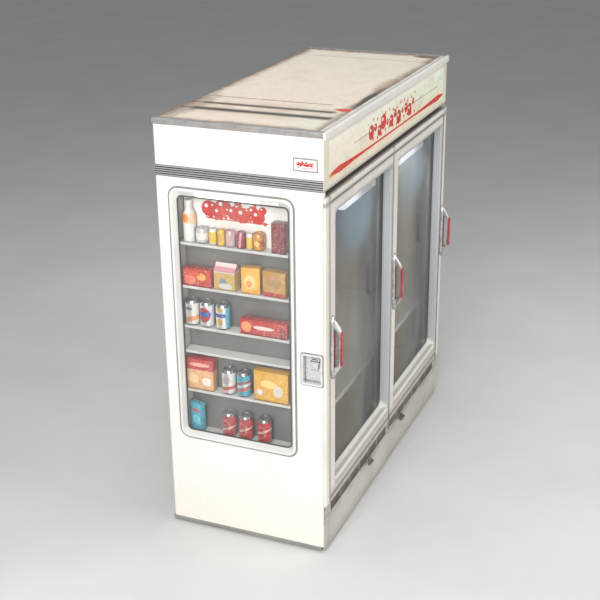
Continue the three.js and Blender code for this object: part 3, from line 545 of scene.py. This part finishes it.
# Every paint by the short name that the pieces below use.
PAINT = {
    "white": enamel("end_enamel", "#eeede9", "#e6e5e0", "#968c7c", 0.55, low_tint="#ece8dd"),
    "header": enamel("header_enamel", "#e4ded0", "#d6cebe", "#605448", 0.85, drips=0.2,
                     details=header_details),
    "cream": enamel("frame_enamel", "#e6e1d7", "#dad4c8", "#4a4036", 0.95, drips=0.12, reach=0.012,
                    ease=0.004, details=frame_details),
    "leaf": enamel("leaf_enamel", "#e0dbd2", "#d4cec4", "#4a4036", 0.95, drips=0.05, reach=0.012, ease=0.006,
                   details=leaf_reveal),
    "skirt": enamel("skirt_enamel", "#c1bbb1", "#b3ada2", "#463e36", 0.9, drips=0.06, reach=0.015,
                    details=skirt_grille),
    "trim": enamel("lip_enamel", "#e2dfd8", "#d4d1ca", "#706a64", 0.7, ease=0.004, details=lip_details),
    "stock": enamel("stock_shelf_enamel", "#ecece9", "#e0e0de", "#827e78", 0.5, details=shelf_details),
    "badge": enamel("badge_enamel", "#f0f0f0", "#e6e6e6", "#787470", 0.6),
    "bezel": enamel("bezel_enamel", "#e8e8e6", "#dededc", "#4c4c4c", 0.9, ease=0.004, reach=0.012),
    "base": enamel("base_enamel", "#989695", "#807e7d", "#3c3834", 0.5),
    "case": enamel("case_enamel", "#767471", "#686663", "#3c3a38", 0.6, rough=0.45, reach=0.02,
                   details=case_details),
    "shelf": enamel("shelf_enamel", "#ecece9", "#e0e0de", "#827e78", 0.5),
    "liner": enamel("liner_enamel", "#aca499", "#9c948a", "#4c4640", 0.6, rough=0.42),
    "black": enamel("black_enamel", "#28282a", "#1e1e20", "#463c32", 0.4),
    "roof": roof_paint(),
    "sign": sign_print(),
    "cap": metal("cap_strip_metal", "#a8a5a4", "#928f8e", 0.42, (0.3, 0.03, 1.0), 300.0, 0.3, spots="#6e5846",
                 spot_amount=0.35),
    "rib": ribbed(),
    "chrome": metal("worn_chrome", "#cececf", "#a8a9ab", 0.26, (1.0, 1.0, 0.3), 60.0, 0.6),
    "coin": coin_metal(),
    "satin": metal("satin_steel", "#e0e0e1", "#c8c9cb", 0.34, (1.0, 0.1, 1.0), 300.0, 0.5),
    "dull": metal("tarnished_zinc", "#96918a", "#68625b", 0.42, (1.0, 1.0, 0.3), 120.0, 0.4),
    "fins": metal("fin_metal", "#c4c2bc", "#969084", 0.4, (1.0, 1.0, 0.05), 420.0, 0.9),
    "zinc": galvanised(),
    "rubber": plastic("gasket_rubber", "#969694", "#7e7e7d", 0.7, 0.5),
    "seal": plastic("window_rubber", "#5c5a59", "#4e4c4b", 0.65, 0.4),
    "foot": plastic("foot_rubber", "#222222", "#1a1a1a", 0.75, 0.6),
    "moulded": plastic("moulded_black", "#242426", "#1c1c1e", 0.45, 0.4),
    "grip": plastic("grip_red", "#aa2c2a", "#8c2222", 0.42, 0.3, wear="#ce786e"),
    "card": plastic("card_white", "#f4f2ee", "#ece9e4", 0.6, 0.2),
    "red": plastic("print_red", "#ce3428", "#be2820", 0.4, 0.15, wear="#de7e64"),
    "ink": plastic("print_dark", "#685c4c", "#544a3e", 0.5, 0.1),
    "line": plastic("shadow_line", "#969593", "#868583", 0.6, 0.1),
    "amber": plastic("print_amber", "#e4a83c", "#d68c2c", 0.5, 0.1),
    "lamp": glowing("bay_lamp_lens", "#f4f3f6", 1.6, "#e6e8ee"),
    "case_lamp": glowing("case_lamp_lens", "#fffcf4", 2.2, "#faf6ec", 300),
    "door_glass": pane("door_pane", "#928a7f", "#788e98", 0.3, sided=True),
    "window_glass": pane("window_pane", "#cdd0d0", "#cdd0d0", 0.03, 0.03),
}

# Which CAD nodes wear which paint. The three CAD pulls are replaced further down.
DRESS = {
    "white": ["end_panel_display", "end_panel_plain"],
    "header": ["header_box"],
    "cream": ["door_frame"],
    "leaf": ["door_1_leaf", "door_2_leaf"],
    "skirt": ["skirt_panel_1", "skirt_panel_2"],
    "trim": ["top_trim_front"],
    "badge": ["badge_plate"],
    "bezel": ["window_bezel"],
    "base": ["base_frame"],
    "case": ["display_case"],
    "shelf": ["display_shelf_%d" % number for number in range(1, 6)],
    "stock": ["bay_1_shelf", "bay_2_shelf"],
    "liner": ["compartment_liner"],
    "black": ["compressor"],
    "roof": ["top_panel"],
    "sign": ["sign_panel"],
    "cap": ["cap_strip_display_end", "cap_strip_plain_end"],
    "rib": ["ribbed_band_display_end", "ribbed_band_plain_end"],
    "coin": ["coin_bezel"],
    "satin": ["coin_slot_plate", "coin_return_flap", "door_1_pivot_pin", "door_2_pivot_pin",
              "door_1_pivot_bracket", "door_2_pivot_bracket"],
    "dull": ["skirt_catch_1", "skirt_catch_2"],
    "fins": ["evaporator_coil", "condenser_coil"],
    "zinc": ["back_panel", "coin_box"],
    "rubber": ["door_1_gasket", "door_2_gasket"],
    "foot": ["foot_front_left", "foot_front_right", "foot_rear_left", "foot_rear_right"],
    "moulded": ["power_inlet", "evaporator_fan", "condenser_fan"],
    "card": ["display_header_card"],
    "lamp": ["bay_1_lamp", "bay_2_lamp"],
    "case_lamp": ["display_lamp"],
    "door_glass": ["door_1_glass", "door_2_glass"],
    "window_glass": ["window_glass"],
}
for paint, names in DRESS.items():
    for name in names:
        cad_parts[name].material_slots[0].material = PAINT[paint]


# ---- mesh helpers
def skin(rings, count):
    """Faces over rings of count points each, closed at both ends."""
    faces = []
    for low in range(0, (rings - 1) * count, count):
        high = low + count
        faces += [(low + k, low + (k + 1) % count, high + (k + 1) % count, high + k) for k in range(count)]
    return faces + [tuple(range(count)), tuple((rings - 1) * count + k for k in range(count))]


def show(name, data):
    """A new object in the scene."""
    made = bpy.data.objects.new(name, data)
    bpy.context.scene.collection.objects.link(made)
    return made


def piece(name, verts, faces, mats, body="cabinet", smooth=True, place=None, face_mats=None):
    """A mesh object that rides on a body and takes a material slot. face_mats picks from mats by face."""
    mesh = bpy.data.meshes.new(name)
    mesh.from_pydata([tuple(v) for v in verts], [], faces)
    bm = bmesh.new()
    bm.from_mesh(mesh)
    if face_mats:
        bm.faces.ensure_lookup_table()
        for face, index in zip(bm.faces, face_mats):
            face.material_index = index
    bmesh.ops.recalc_face_normals(bm, faces=bm.faces)
    for face in bm.faces:
        face.smooth = smooth
    bm.to_mesh(mesh)
    bm.free()
    for mat in mats:
        mesh.materials.append(mat)
    made = show(name, mesh)
    if place:
        made.location = place
    if smooth:
        mesh.set_sharp_from_angle(angle=math.radians(38))
    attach(made, body)
    return made


def eased_box(name, lo, hi, mat, place, turn):
    """A card box with softly rounded edges between two corners, in metres, turned about Z."""
    bm = bmesh.new()
    bmesh.ops.create_cube(bm, size=1.0)
    size = [hi[i] - lo[i] for i in range(3)]
    mid = [(hi[i] + lo[i]) / 2 for i in range(3)]
    for v in bm.verts:
        v.co = Vector((v.co.x * size[0], v.co.y * size[1], v.co.z * size[2]))
    bmesh.ops.bevel(bm, geom=list(bm.edges), offset=1.2 * MM, segments=2, profile=0.5, affect="EDGES")
    bmesh.ops.rotate(bm, verts=bm.verts, cent=(0, 0, 0), matrix=Matrix.Rotation(turn, 3, "Z"))
    bmesh.ops.translate(bm, verts=bm.verts, vec=mid)
    verts = [v.co.copy() for v in bm.verts]
    faces = [[v.index for v in f.verts] for f in bm.faces]
    bm.free()
    return piece(name, verts, faces, [mat], place=place)


def turned(name, profile, mats, mat_of=lambda band: 0, place=None):
    """A solid of revolution about Z from (radius, height) pairs in millimetres."""
    steps, bands = 40, len(profile) - 1
    verts = []
    for r, h in profile:
        for i in range(steps):
            a = 2 * math.pi * i / steps
            verts.append((r * MM * math.cos(a), r * MM * math.sin(a), h * MM))
    picks = [mat_of(band) for band in range(bands) for _ in range(steps)] + [mat_of(0), mat_of(bands - 1)]
    return piece(name, verts, skin(bands + 1, steps), mats, place=place, face_mats=picks)


def swept(name, path, half_widths, half_thicks, mat, body, x):
    """A rounded bar that follows (y, z) points in a plane of constant x, with a half width and half thickness
    for each point. Ends are closed."""
    n, corner = 12, 0.35
    verts = []
    for i, (y, z) in enumerate(path):
        before = Vector(path[max(i - 1, 0)])
        after = Vector(path[min(i + 1, len(path) - 1)])
        along = (after - before).normalized()
        out = Vector((along.y, -along.x))
        for k in range(n):
            a = 2 * math.pi * (k + 0.5) / n
            c, s = math.cos(a), math.sin(a)
            bulge = (abs(c) ** (1 / corner) + abs(s) ** (1 / corner)) ** -corner
            u, v = c * bulge * half_widths[i], s * bulge * half_thicks[i]
            verts.append(at(x + u, y + out.x * v, z + out.y * v))
    return piece(name, verts, skin(len(path), n), [mat], body)


def handle(name, outer, inner, half_width, mat, body, x):
    """A rounded bar whose outer and inner edges follow two lists of (y, z) points. Ends are closed."""
    n, corner = 14, 3.4
    verts = []
    for (oy, oz), (iy, iz) in zip(outer, inner):
        cy, cz, hy, hz = (oy + iy) / 2, (oz + iz) / 2, (oy - iy) / 2, (oz - iz) / 2
        for k in range(n):
            a = 2 * math.pi * (k + 0.5) / n
            c, s = math.cos(a), math.sin(a)
            bulge = (abs(c) ** corner + abs(s) ** corner) ** (-1 / corner)
            verts.append(at(x + c * bulge * half_width, cy + hy * s * bulge, cz + hz * s * bulge))
    return piece(name, verts, skin(len(outer), n), [mat], body)


def decal(name, outlines, mat, spot, thick=0.35, step=0.0):
    """Thin printed shapes. spot maps (u, v, lift) in millimetres to a point; outlines are (u, v) loops.
    step makes each shape a little thicker than the one before, so that none lie in one plane."""
    verts, faces = [], []
    for k, loop in enumerate(outlines):
        base = len(verts)
        verts += [spot(u, v, 0.02) for u, v in loop]
        verts += [spot(u, v, thick + k * step) for u, v in loop]
        faces += [tuple(base + i for i in face) for face in skin(2, len(loop))]
    return piece(name, verts, faces, [mat], "cabinet", False)


def disc(u, v, r, steps=28):
    return [(u + r * math.cos(2 * math.pi * i / steps), v + r * math.sin(2 * math.pi * i / steps))
            for i in range(steps)]


# ---- pulls
def pull(tag, node, body):
    """D-shaped pull: pointed plate with a red inset, plated arms, red sleeve on the grip. Heights are taken
    from the middle of the pull, which is the same above and below."""
    left, right, front, root, foot, head = edges_of(node)
    x, middle = (left + right) / 2, (foot + head) / 2
    grip, slot = front + 5.6, "bright_chrome"

    half = [(-151, 3), (-145, 8), (-131, 14), (-113, 18), (-86, 19)]
    half += [(0, 19)] + [(-rise, w) for rise, w in reversed(half)]
    loop = [(-w, rise) for rise, w in half] + [(w, rise) for rise, w in reversed(half)]
    steps = ((0.0, 1.0), (-9.0, 1.0), (-12.5, 0.9), (-12.5, 0.76), (-9.5, 0.7))
    verts = [at(x + u * grow, root + y, middle + rise * (1 - (1 - grow) * 0.22)) for y, grow in steps
             for u, rise in loop]
    plate = piece(tag + "_plate", verts, skin(len(steps), len(loop)), [PAINT["chrome"]], body)

    outer = [(root - 4, -148), (-22, -137), (-31, -124), (-40, -110), (-48, -96), (-54, -84), (-56.8, -71),
             (-57.6, -55)]
    inner = [(root - 4, -87), (-21, -86), (-28, -85), (-34.5, -82.5), (-39.5, -77.5), (-42.4, -70),
             (-43.6, -61), (-44, -51)]
    edges = [[(y, middle + rise) for y, rise in arm] + [(y, middle - rise) for y, rise in reversed(arm)]
             for arm in (outer, inner)]
    bar = handle(tag + "_bar", edges[0], edges[1], 13.0, PAINT["chrome"], body, x)

    path = [(grip, middle + rise) for rise in (-81, -78, -71, 0, 71, 78, 81)]
    widths, thicks = (11.0, 13.2, 13.6, 13.6, 13.6, 13.2, 11.0), (4.0, 5.0, 5.3, 5.4, 5.3, 5.0, 4.0)
    swept(tag + "_sleeve", path, widths, thicks, PAINT["grip"], body, x)

    inset = [(-93, 7), (-85, 11), (0, 12.5), (85, 11), (93, 7)]
    loop = [(-w, rise) for rise, w in inset] + [(w, rise) for rise, w in reversed(inset)]
    verts = [at(x + u, root - 9.4, middle + rise) for u, rise in loop]
    verts += [at(x + u * 0.9, root - 13.4, middle + rise * 0.985) for u, rise in loop]
    piece(tag + "_inset", verts, skin(2, len(loop)), [PAINT["grip"]], body)
    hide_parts(node)
    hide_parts(node)


for tag, node, body in (("pull_1", "door_1_pull", "door_1"), ("pull_2", "door_2_pull", "door_2"),
                        ("pull_3", "fixed_pull", "cabinet")):
    pull(tag, node, body)


# ---- printed decoration
def on_header(u, v, lift):
    return at(u, -lift, v)


BADGE_X, CARD_X = edges_of("badge_plate")[0], edges_of("display_header_card")[0]


def on_badge(u, v, lift):
    return at(BADGE_X - lift, u, v)


def on_card(u, v, lift):
    return at(CARD_X - lift, u, v)


def stripe_outline(x0, x1, z, thin, thick, steps=60):
    """A stripe from x0 to x1: thin in the middle, flared and raised to its ends, drawn in at the tips."""
    top, low = [], []
    for i in range(steps + 1):
        t = -1 + 2 * i / steps
        x = x0 + (x1 - x0) * i / steps
        flare = abs(t) ** 3.2
        pinch = min(1.0, (1 - abs(t)) / 0.12)
        half = (thin + (thick - thin) * flare) * (0.15 + 0.85 * pinch) / 2
        top.append((x, z + half + 3.0 * flare))
        low.append((x, z - half + 3.0 * flare))
    return top + low[::-1]


decal("header_stripe", [stripe_outline(78, 1752, 1802, 9, 42)], PAINT["red"], on_header)
decal("header_stripe_tail", [stripe_outline(62, 120, 1798, 12, 22, 12)], PAINT["amber"], on_header, 0.25)
decal("header_line", [[(365, 1869), (1650, 1866), (1650, 1868.5), (365, 1871.5)]], PAINT["ink"], on_header)


def fizz(u0, u1, v, unit, spot, tag, mat):
    """A bank of solid drink bubbles of uneven size with small ones rising, each with a pale glint."""
    discs, glints = [], []
    sizes = (0.95, 0.5, 0.74, 1.0, 0.42, 0.8, 0.56, 0.92, 0.38, 0.66, 0.86, 0.46)
    pitch = (u1 - u0) / (len(sizes) - 1)
    side = 1 if pitch > 0 else -1
    for i, size in enumerate(sizes):
        u = u0 + i * pitch
        r = abs(unit) * size * 0.46
        w = v + abs(unit) * 0.2 * math.sin(i * 2.4)
        discs.append((u, w, r))
        glints.append((u - side * r * 0.34, w + r * 0.34, r * 0.24))
        discs.append((u + pitch * 0.5, v + abs(unit) * (0.56 + 0.12 * math.cos(i * 1.7)), abs(unit) * 0.09))
        discs.append((u + pitch * 0.45, v - abs(unit) * (0.44 + 0.08 * math.sin(i * 1.3)), abs(unit) * 0.1))
    decal(tag, [disc(u, w, r) for u, w, r in discs], mat, spot, 0.25, 0.012)
    decal(tag + "_glints", [disc(u, w, r, 14) for u, w, r in glints], PAINT["card"], spot, 0.95)


fizz(590, 1215, 1864, 80, on_header, "header_bubbles", PAINT["red"])
fizz(112, 48, 1862, 18, on_badge, "badge_bubbles", PAINT["red"])
decal("badge_rule", [stripe_outline(42, 118, 1845, 2.2, 4, 24)], PAINT["red"], on_badge)
fizz(580, 320, 1590, 84, on_card, "card_bubbles", PAINT["red"])
decal("card_rule", [stripe_outline(292, 600, 1546, 5, 10, 30)], PAINT["red"], on_card)


# ---- window surround
def rounded_loop(u0, u1, v0, v1, r, steps=7):
    loop = []
    corners = ((u1 - r, v1 - r, 0), (u0 + r, v1 - r, 90), (u0 + r, v0 + r, 180), (u1 - r, v0 + r, 270))
    for cu, cv, start in corners:
        for i in range(steps + 1):
            a = math.radians(start + 90 * i / steps)
            loop.append((cu + r * math.cos(a), cv + r * math.sin(a)))
    return loop


def ring(name, edges, width, radii, depths, mat, steps=7):
    """A flat frame of the given width round an opening's (y0, y1, z0, z1) edges, between two depths."""
    u0, u1, v0, v1 = edges
    outer = rounded_loop(u0 - width, u1 + width, v0 - width, v1 + width, radii[0], steps)
    inner = rounded_loop(u0, u1, v0, v1, radii[1], steps)
    x0, x1 = depths
    n = len(outer)
    verts = [at(x, u, v) for x, loop in ((x0, outer), (x0, inner), (x1, inner), (x1, outer)) for u, v in loop]
    faces = [(k * n + i, k * n + (i + 1) % n, ((k + 1) % 4) * n + (i + 1) % n, ((k + 1) % 4) * n + i)
             for k in range(4) for i in range(n)]
    return piece(name, verts, faces, [mat], "cabinet")


ring("window_seal", (172, 694, 513, 1654), 5.5, (24, 20), (20.5, 24.1), PAINT["seal"])
ON_BADGE, ON_PANEL = (BADGE_X - 0.45, BADGE_X - 0.05), (-0.4, -0.05)
for name, node, inset, width, radii, depths, steps in (
        ("badge_border", "badge_plate", 4.5, 5.5, (3, 2), ON_BADGE, 3),
        ("window_shadow_line", "window_bezel", 0.2, 8.7, (50, 42), ON_PANEL, 7),
        ("coin_shadow_line", "coin_bezel", 0.6, 5.6, (12, 9), ON_PANEL, 7)):
    ring(name, edges_of(node, inset)[2:], width, radii, depths, PAINT["line"], steps)

# ---- sample goods
GOODS_FRONT = 38.0
ALLOY = metal("can_alloy", "#ced0d4", "#b0b2b8", 0.25, (1.0, 1.0, 1.0), 300.0, 0.95, 0.0003)


def label(name, ground, accents, metallic=0.0):
    """Printed wrap. accents are (kind, colour, numbers) in millimetres of the piece's own frame."""
    s = Shader(name, Metallic=metallic, Coat_Weight=0.4, Coat_Roughness=0.12)
    x, y, z = s.axes()
    turn = s.math("ARCTAN2", y, s.mul(x, -1.0))
    blur = 0.6 * MM
    tone = s.mix(s.span(s.noise(40.0, 3.0), 0.3, 0.7), ground, linear(ground, 0.88))
    for kind, colour, numbers in accents:
        if kind == "band":
            lo, hi, swing, beats = numbers
            level = s.add(z, s.mul(s.math("SINE", s.mul(turn, beats)), swing * MM))
            above = s.span(level, lo * MM - blur, lo * MM + blur)
            mask = s.mul(above, s.span(level, hi * MM + blur, hi * MM - blur))
        elif kind == "oval":
            cu, cz, ru, rz = numbers
            mask = s.span(s.oval(turn, z, cu, cz * MM, ru, rz * MM), 1.06, 0.94)
        elif kind == "patch":
            ragged = s.mul(s.noise(60.0, 3.0), 0.5)
            mask = s.span(s.add(s.oval(y, z, *(number * MM for number in numbers)), ragged), 1.3, 1.15)
        else:
            lean, width, pitch = numbers
            phase = s.math("PINGPONG", s.add(y, s.mul(z, lean)), pitch * MM)
            mask = s.span(phase, width * MM + blur, width * MM - blur)
        tone = s.over(tone, colour, mask)
    art = s.cells(70.0, vector=s.stretch(1.0, 1.0, 1.5))
    blot = s.span(s.add(art.outputs["Distance"], s.mul(s.noise(120.0, 3.0), 0.4)), 0.62, 0.5)
    ink = s.mix(s.span(s.noise(30.0), 0.4, 0.6), "#faecd6", linear(ground, 0.45))
    tone = s.over(tone, ink, blot, 0.22)
    # Painted shade in corners, from ambient occlusion.
    tone = s.over(tone, "#28221e", s.crevice(0.01), 0.6)
    s.set("Base Color", tone)
    s.set("Roughness", s.span(s.noise(90.0, 3.0), 0.3, 0.7, 0.26, 0.42))
    s.bump(s.noise(160.0, 3.0), 0.08, 0.0003)
    return s.mat


def card_print(name, ground, marks):
    """The printed wrap of a carton, named after it."""
    return label(name.removeprefix("sample_") + "_print", ground, marks)


def can(name, y, level, ground, marks, radius=33.0, height=122.0, x=67.0, wrapped=False):
    """Drink can: domed foot, straight wall, neck, rolled rim, recessed lid with a ring pull. A wrapped one is
    printed all over; the others show bare alloy above and below the wall."""
    mat = label(name.removeprefix("sample_") + "_wrap", ground, marks, metallic=0.15 if wrapped else 0.0)
    k, h = radius / 33.0, height
    foot = [(20, 4.2), (24.5, 0.8), (26, 0), (27.5, 1.4), (31.5, 8), (33, 13)]
    neck = [(33, 17), (32.4, 14), (27.6, 4), (27, 2.4), (27.4, 0.8), (26.6, 0), (25.6, 0.6), (25.2, 4.2),
            (24, 4.6)]
    profile = [(6, 5)] + [(r * k, rise) for r, rise in foot]
    profile += [(r * k, h - drop) for r, drop in neck] + [(8, h - 4.2)]
    base = at(x, y, level)
    turned(name, profile, [ALLOY, mat], lambda band: int(wrapped or 5 <= band <= 7), base)
    turns = (2 * math.pi * i / 20 for i in range(20))
    tab = [(3 + 9 * math.cos(a) * (1.25 if math.cos(a) > 0 else 0.9), 6.2 * math.sin(a)) for a in turns]
    verts = [(u * MM * k, v * MM * k, (h - drop) * MM) for drop in (3.6, 2.6) for u, v in tab]
    piece(name + "_tab", verts, skin(2, len(tab)), [ALLOY], place=base)


def carton(name, y0, y1, level, height, depth, ground, marks, turn=0.0):
    """A card box with slightly rounded edges, standing on a shelf."""
    half_y, half_d = (y1 - y0) / 2 * MM, depth / 2 * MM
    place = at(GOODS_FRONT + depth / 2 + abs(math.sin(turn)) * (y1 - y0) / 2, (y0 + y1) / 2, level)
    eased_box(name, (-half_d, -half_y, 0.0), (half_d, half_y, height * MM), card_print(name, ground, marks),
              place, turn)


def gable_carton(name, y0, y1, level, height, depth, ground, marks):
    """A carton whose top folds up to a crimped ridge."""
    a, b = depth / 2 * MM, (y1 - y0) / 2 * MM
    wall, top = height * 0.74 * MM, height * MM
    verts = []
    for u, v, h in ((a, b, 0.0), (a, b, wall), (a * 0.1, b, top * 0.95), (a * 0.08, b, top)):
        verts += [(-u, -v, h), (u, -v, h), (u, v, h), (-u, v, h)]
    piece(name, verts, skin(4, 4), [card_print(name, ground, marks)], smooth=False,
          place=at(GOODS_FRONT - 2 + depth / 2, (y0 + y1) / 2, level))


WHITE_C, RED_C, BLUE_C, CYAN_C = "#eceae6", "#c62224", "#2c5cb0", "#46b8ce"
YELLOW_C, ORANGE_C, GOLD_C = "#f0c43c", "#e88c3c", "#d8a038"
PINK_C, MAROON_C = "#e896a0", "#962c42"
# Goods stand a hair above a shelf's floor, which is LIP below the top of its front lip. The case floor is as
# thick as that lip is high.
LIP, STAND = 4, 0.2
tops = [edges_of("display_shelf_%d" % (i + 1))[5] - LIP + STAND for i in range(5)]
floor_top = edges_of("display_case")[4] + LIP + STAND

# top bay
turned("sample_bottle", [(10, 0), (27, 1), (29, 6), (29, 118), (27, 128), (17, 150), (15, 158), (15, 172),
                         (17, 173), (17, 190), (15, 192), (6, 192)],
       [label("bottle_wrap", WHITE_C, [("band", "#f4ceaa", (86, 134, 0, 1)),
                                       ("oval", ORANGE_C, (0.25, 112, 0.55, 20))])],
       place=at(68, 666, tops[0]))
TINS = [(603, 31, 70, "#c8cace", [("band", WHITE_C, (20, 50, 0, 1))]),
        (545, 20, 76, "#e8e6e0", [("band", YELLOW_C, (12, 62, 0, 1))]),
        (504, 19, 76, YELLOW_C, [("oval", GOLD_C, (0.1, 40, 0.6, 16))]),
        (462, 23, 76, "#cec8c8", [("slant", PINK_C, (0.2, 6, 14))]),
        (411, 23, 74, MAROON_C, [("slant", PINK_C, (0.1, 5, 13))]),
        (366, 17, 76, WHITE_C, [("band", YELLOW_C, (8, 60, 0, 1))]),
        (328, 27, 78, "#d69646", [("band", "#aa6028", (20, 44, 3, 3)),
                                  ("oval", "#f0c878", (0, 34, 0.5, 12))])]
for i, (y, radius, height, ground, marks) in enumerate(TINS):
    can("sample_tin_%d" % (i + 1), y, tops[0], ground, marks, radius, height, GOODS_FRONT + radius, True)
carton("sample_box_tall", 196, 258, tops[0], 138, 46, "#80242c",
       [("patch", "#964246", (0, 86, 20, 34)), ("patch", "#78202a", (0, 86, 14, 26))])
# second bay
carton("sample_box_red", 556, 698, tops[1], 84, 50, "#c43e32",
       [("patch", "#eea85c", (-22, 50, 24, 18)), ("patch", "#e2785c", (34, 30, 30, 22)),
        ("patch", "#d6543c", (20, 62, 40, 12))])
gable_carton("sample_carton", 438, 540, tops[1], 124, 56, "#ecc46c",
             [("band", "#f6e2dc", (84, 140, 0, 1)), ("band", "#de96a0", (90, 108, 0, 1)),
              ("patch", "#8ca0b0", (6, 44, 18, 16)), ("patch", WHITE_C, (-6, 22, 34, 14))])
carton("sample_box_orange", 324, 410, tops[1], 122, 44, "#eeb24c",
       [("patch", "#f4cc8c", (0, 56, 26, 32)), ("patch", "#e28c3c", (4, 46, 14, 16))], 0.12)
carton("sample_box_gold", 194, 306, tops[1], 118, 46, "#c49446",
       [("band", "#b83c32", (0, 22, 0, 1)), ("patch", "#aa844e", (0, 66, 36, 28)),
        ("patch", "#c6786e", (6, 88, 26, 6))], -0.08)
# third bay
can("sample_can_orange", 670, tops[2], WHITE_C,
    [("band", "#eea06e", (22, 44, 8, 1)), ("oval", "#78787e", (0.1, 84, 0.5, 9))])
can("sample_can_tricolour", 596, tops[2], "#e4e6ec",
    [("oval", RED_C, (0.1, 62, 1.0, 36)), ("oval", BLUE_C, (0.1, 66, 1.1, 13))])
can("sample_can_blue", 516, tops[2], WHITE_C,
    [("band", BLUE_C, (62, 80, 0, 1)), ("oval", YELLOW_C, (0.15, 40, 0.5, 16)),
     ("oval", YELLOW_C, (0.15, 100, 0.6, 8)), ("oval", CYAN_C, (-1.3, 60, 0.55, 70))])
carton("sample_box_long", 190, 418, tops[2], 74, 46, "#c03030",
       [("patch", "#ec9664", (84, 38, 24, 26)), ("patch", "#ecd6cc", (0, 40, 52, 9)),
        ("patch", "#96282c", (-92, 30, 18, 28))])
# fifth bay
carton("sample_box_biscuit", 566, 702, tops[4], 156, 48, "#e2b082",
       [("band", "#bc3a3e", (102, 170, 0, 1)), ("patch", "#e8a896", (0, 128, 52, 10)),
        ("patch", "#f0ce96", (34, 56, 24, 26)), ("patch", "#f4e2ce", (-34, 46, 24, 22))])
can("sample_can_white", 497, tops[4], WHITE_C,
    [("band", "#d05a5c", (24, 42, 7, 1)), ("oval", "#cebec0", (0.1, 74, 0.7, 20))])
can("sample_can_cyan", 421, tops[4], CYAN_C,
    [("band", "#d65c56", (30, 46, 9, 1)), ("band", "#e2e2e2", (50, 62, 9, 1)),
     ("band", "#be4642", (66, 76, 9, 1))])
carton("sample_box_golden", 190, 358, tops[4], 150, 50, "#e2ac42",
       [("patch", "#cecebe", (-34, 60, 24, 30)), ("patch", "#d6dee8", (56, 44, 14, 14)),
        ("patch", "#f0ce82", (10, 90, 40, 20))])
# case floor
carton("sample_box_blue", 634, 702, floor_top, 142, 34, "#56b4cc",
       [("patch", "#c85a5c", (0, 104, 24, 10)), ("patch", "#78ccde", (0, 56, 26, 26))], -0.35)
for i, y in enumerate((504, 418, 322)):
    can("sample_can_red_%d" % (i + 1), y, floor_top, RED_C,
        [("oval", "#dc6e70", (0.2, 58, 0.75, 34)), ("oval", "#be282c", (0.2, 58, 0.6, 27)),
         ("band", "#e8c4c0", (40 + 8 * i, 50 + 8 * i, 12, 1))])

# ---- floor, lights, camera
floor_mat = Shader("studio_floor", Roughness=0.6)
cloud = floor_mat.span(floor_mat.noise(1.5), 0.3, 0.7)
floor_mat.set("Base Color", floor_mat.mix(cloud, "#d6d6d5", "#d1d1d0"))
FAR = 30
floor_mesh = bpy.data.meshes.new("studio_floor")
floor_mesh.from_pydata([(-FAR, -FAR, 0), (FAR, -FAR, 0), (FAR, FAR, 0), (-FAR, FAR, 0)], [], [(0, 1, 2, 3)])
floor_mesh.materials.append(floor_mat.mat)
floor = show("studio_floor", floor_mesh)


def softbox(name, place, aim, size, power, tint=(1, 1, 1)):
    light = bpy.data.lights.new(name, "AREA")
    light.shape = "RECTANGLE"
    light.size, light.size_y = size
    light.energy = power
    light.color = tint
    made = show(name, light)
    made.location = place
    made.rotation_euler = (Vector(aim) - Vector(place)).to_track_quat("-Z", "Y").to_euler()


softbox("key_end", (-5.7, -0.9, 3.5), (-0.9, 0.0, 1.0), (3.2, 3.2), 330, (1.0, 0.99, 0.97))
softbox("fill_front", (0.6, -5.6, 2.8), (0.0, 0.0, 0.9), (4.0, 3.0), 180)
softbox("top", (0.0, 0.5, 5.4), (0.0, 0.0, 1.0), (4.0, 3.0), 95)
for lamp in ("bay_1_lamp", "bay_2_lamp"):
    low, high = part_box(lamp)
    middle = ((low.x + high.x) / 2, high.y + 0.03, low.z - 0.012)
    softbox(lamp + "_glow", middle, (middle[0], middle[1] + 0.25, 0.5), (0.42, 0.05), 2.2, (0.84, 0.94, 1.0))
world = bpy.data.worlds.new("studio")
bpy.context.scene.world = world
world.use_nodes = True
sky = world.node_tree.nodes["Background"]
sky.inputs["Color"].default_value = (0.9, 0.91, 0.92, 1.0)
sky.inputs["Strength"].default_value = 0.3
bpy.context.scene.view_settings.view_transform = "Standard"

# Camera fitted to the photograph: where it stands, the way it looks, its roll in degrees and its lens.
VIEW_FROM, VIEW_ALONG, ROLL, LENS = (-4274.6, -1673.6, 3137.6), (0.85510, 0.35700, -0.37597), -0.62, 69.8
camera = bpy.data.cameras.new("camera")
camera.sensor_width = 36.0
camera.lens = LENS
camera_object = show("camera", camera)
camera_object.location = at(*VIEW_FROM)
look = Vector(VIEW_ALONG).to_track_quat("-Z", "Y")
camera_object.rotation_mode = "QUATERNION"
camera_object.rotation_quaternion = look @ Matrix.Rotation(math.radians(ROLL), 4, "Z").to_quaternion()
bpy.context.scene.camera = camera_object
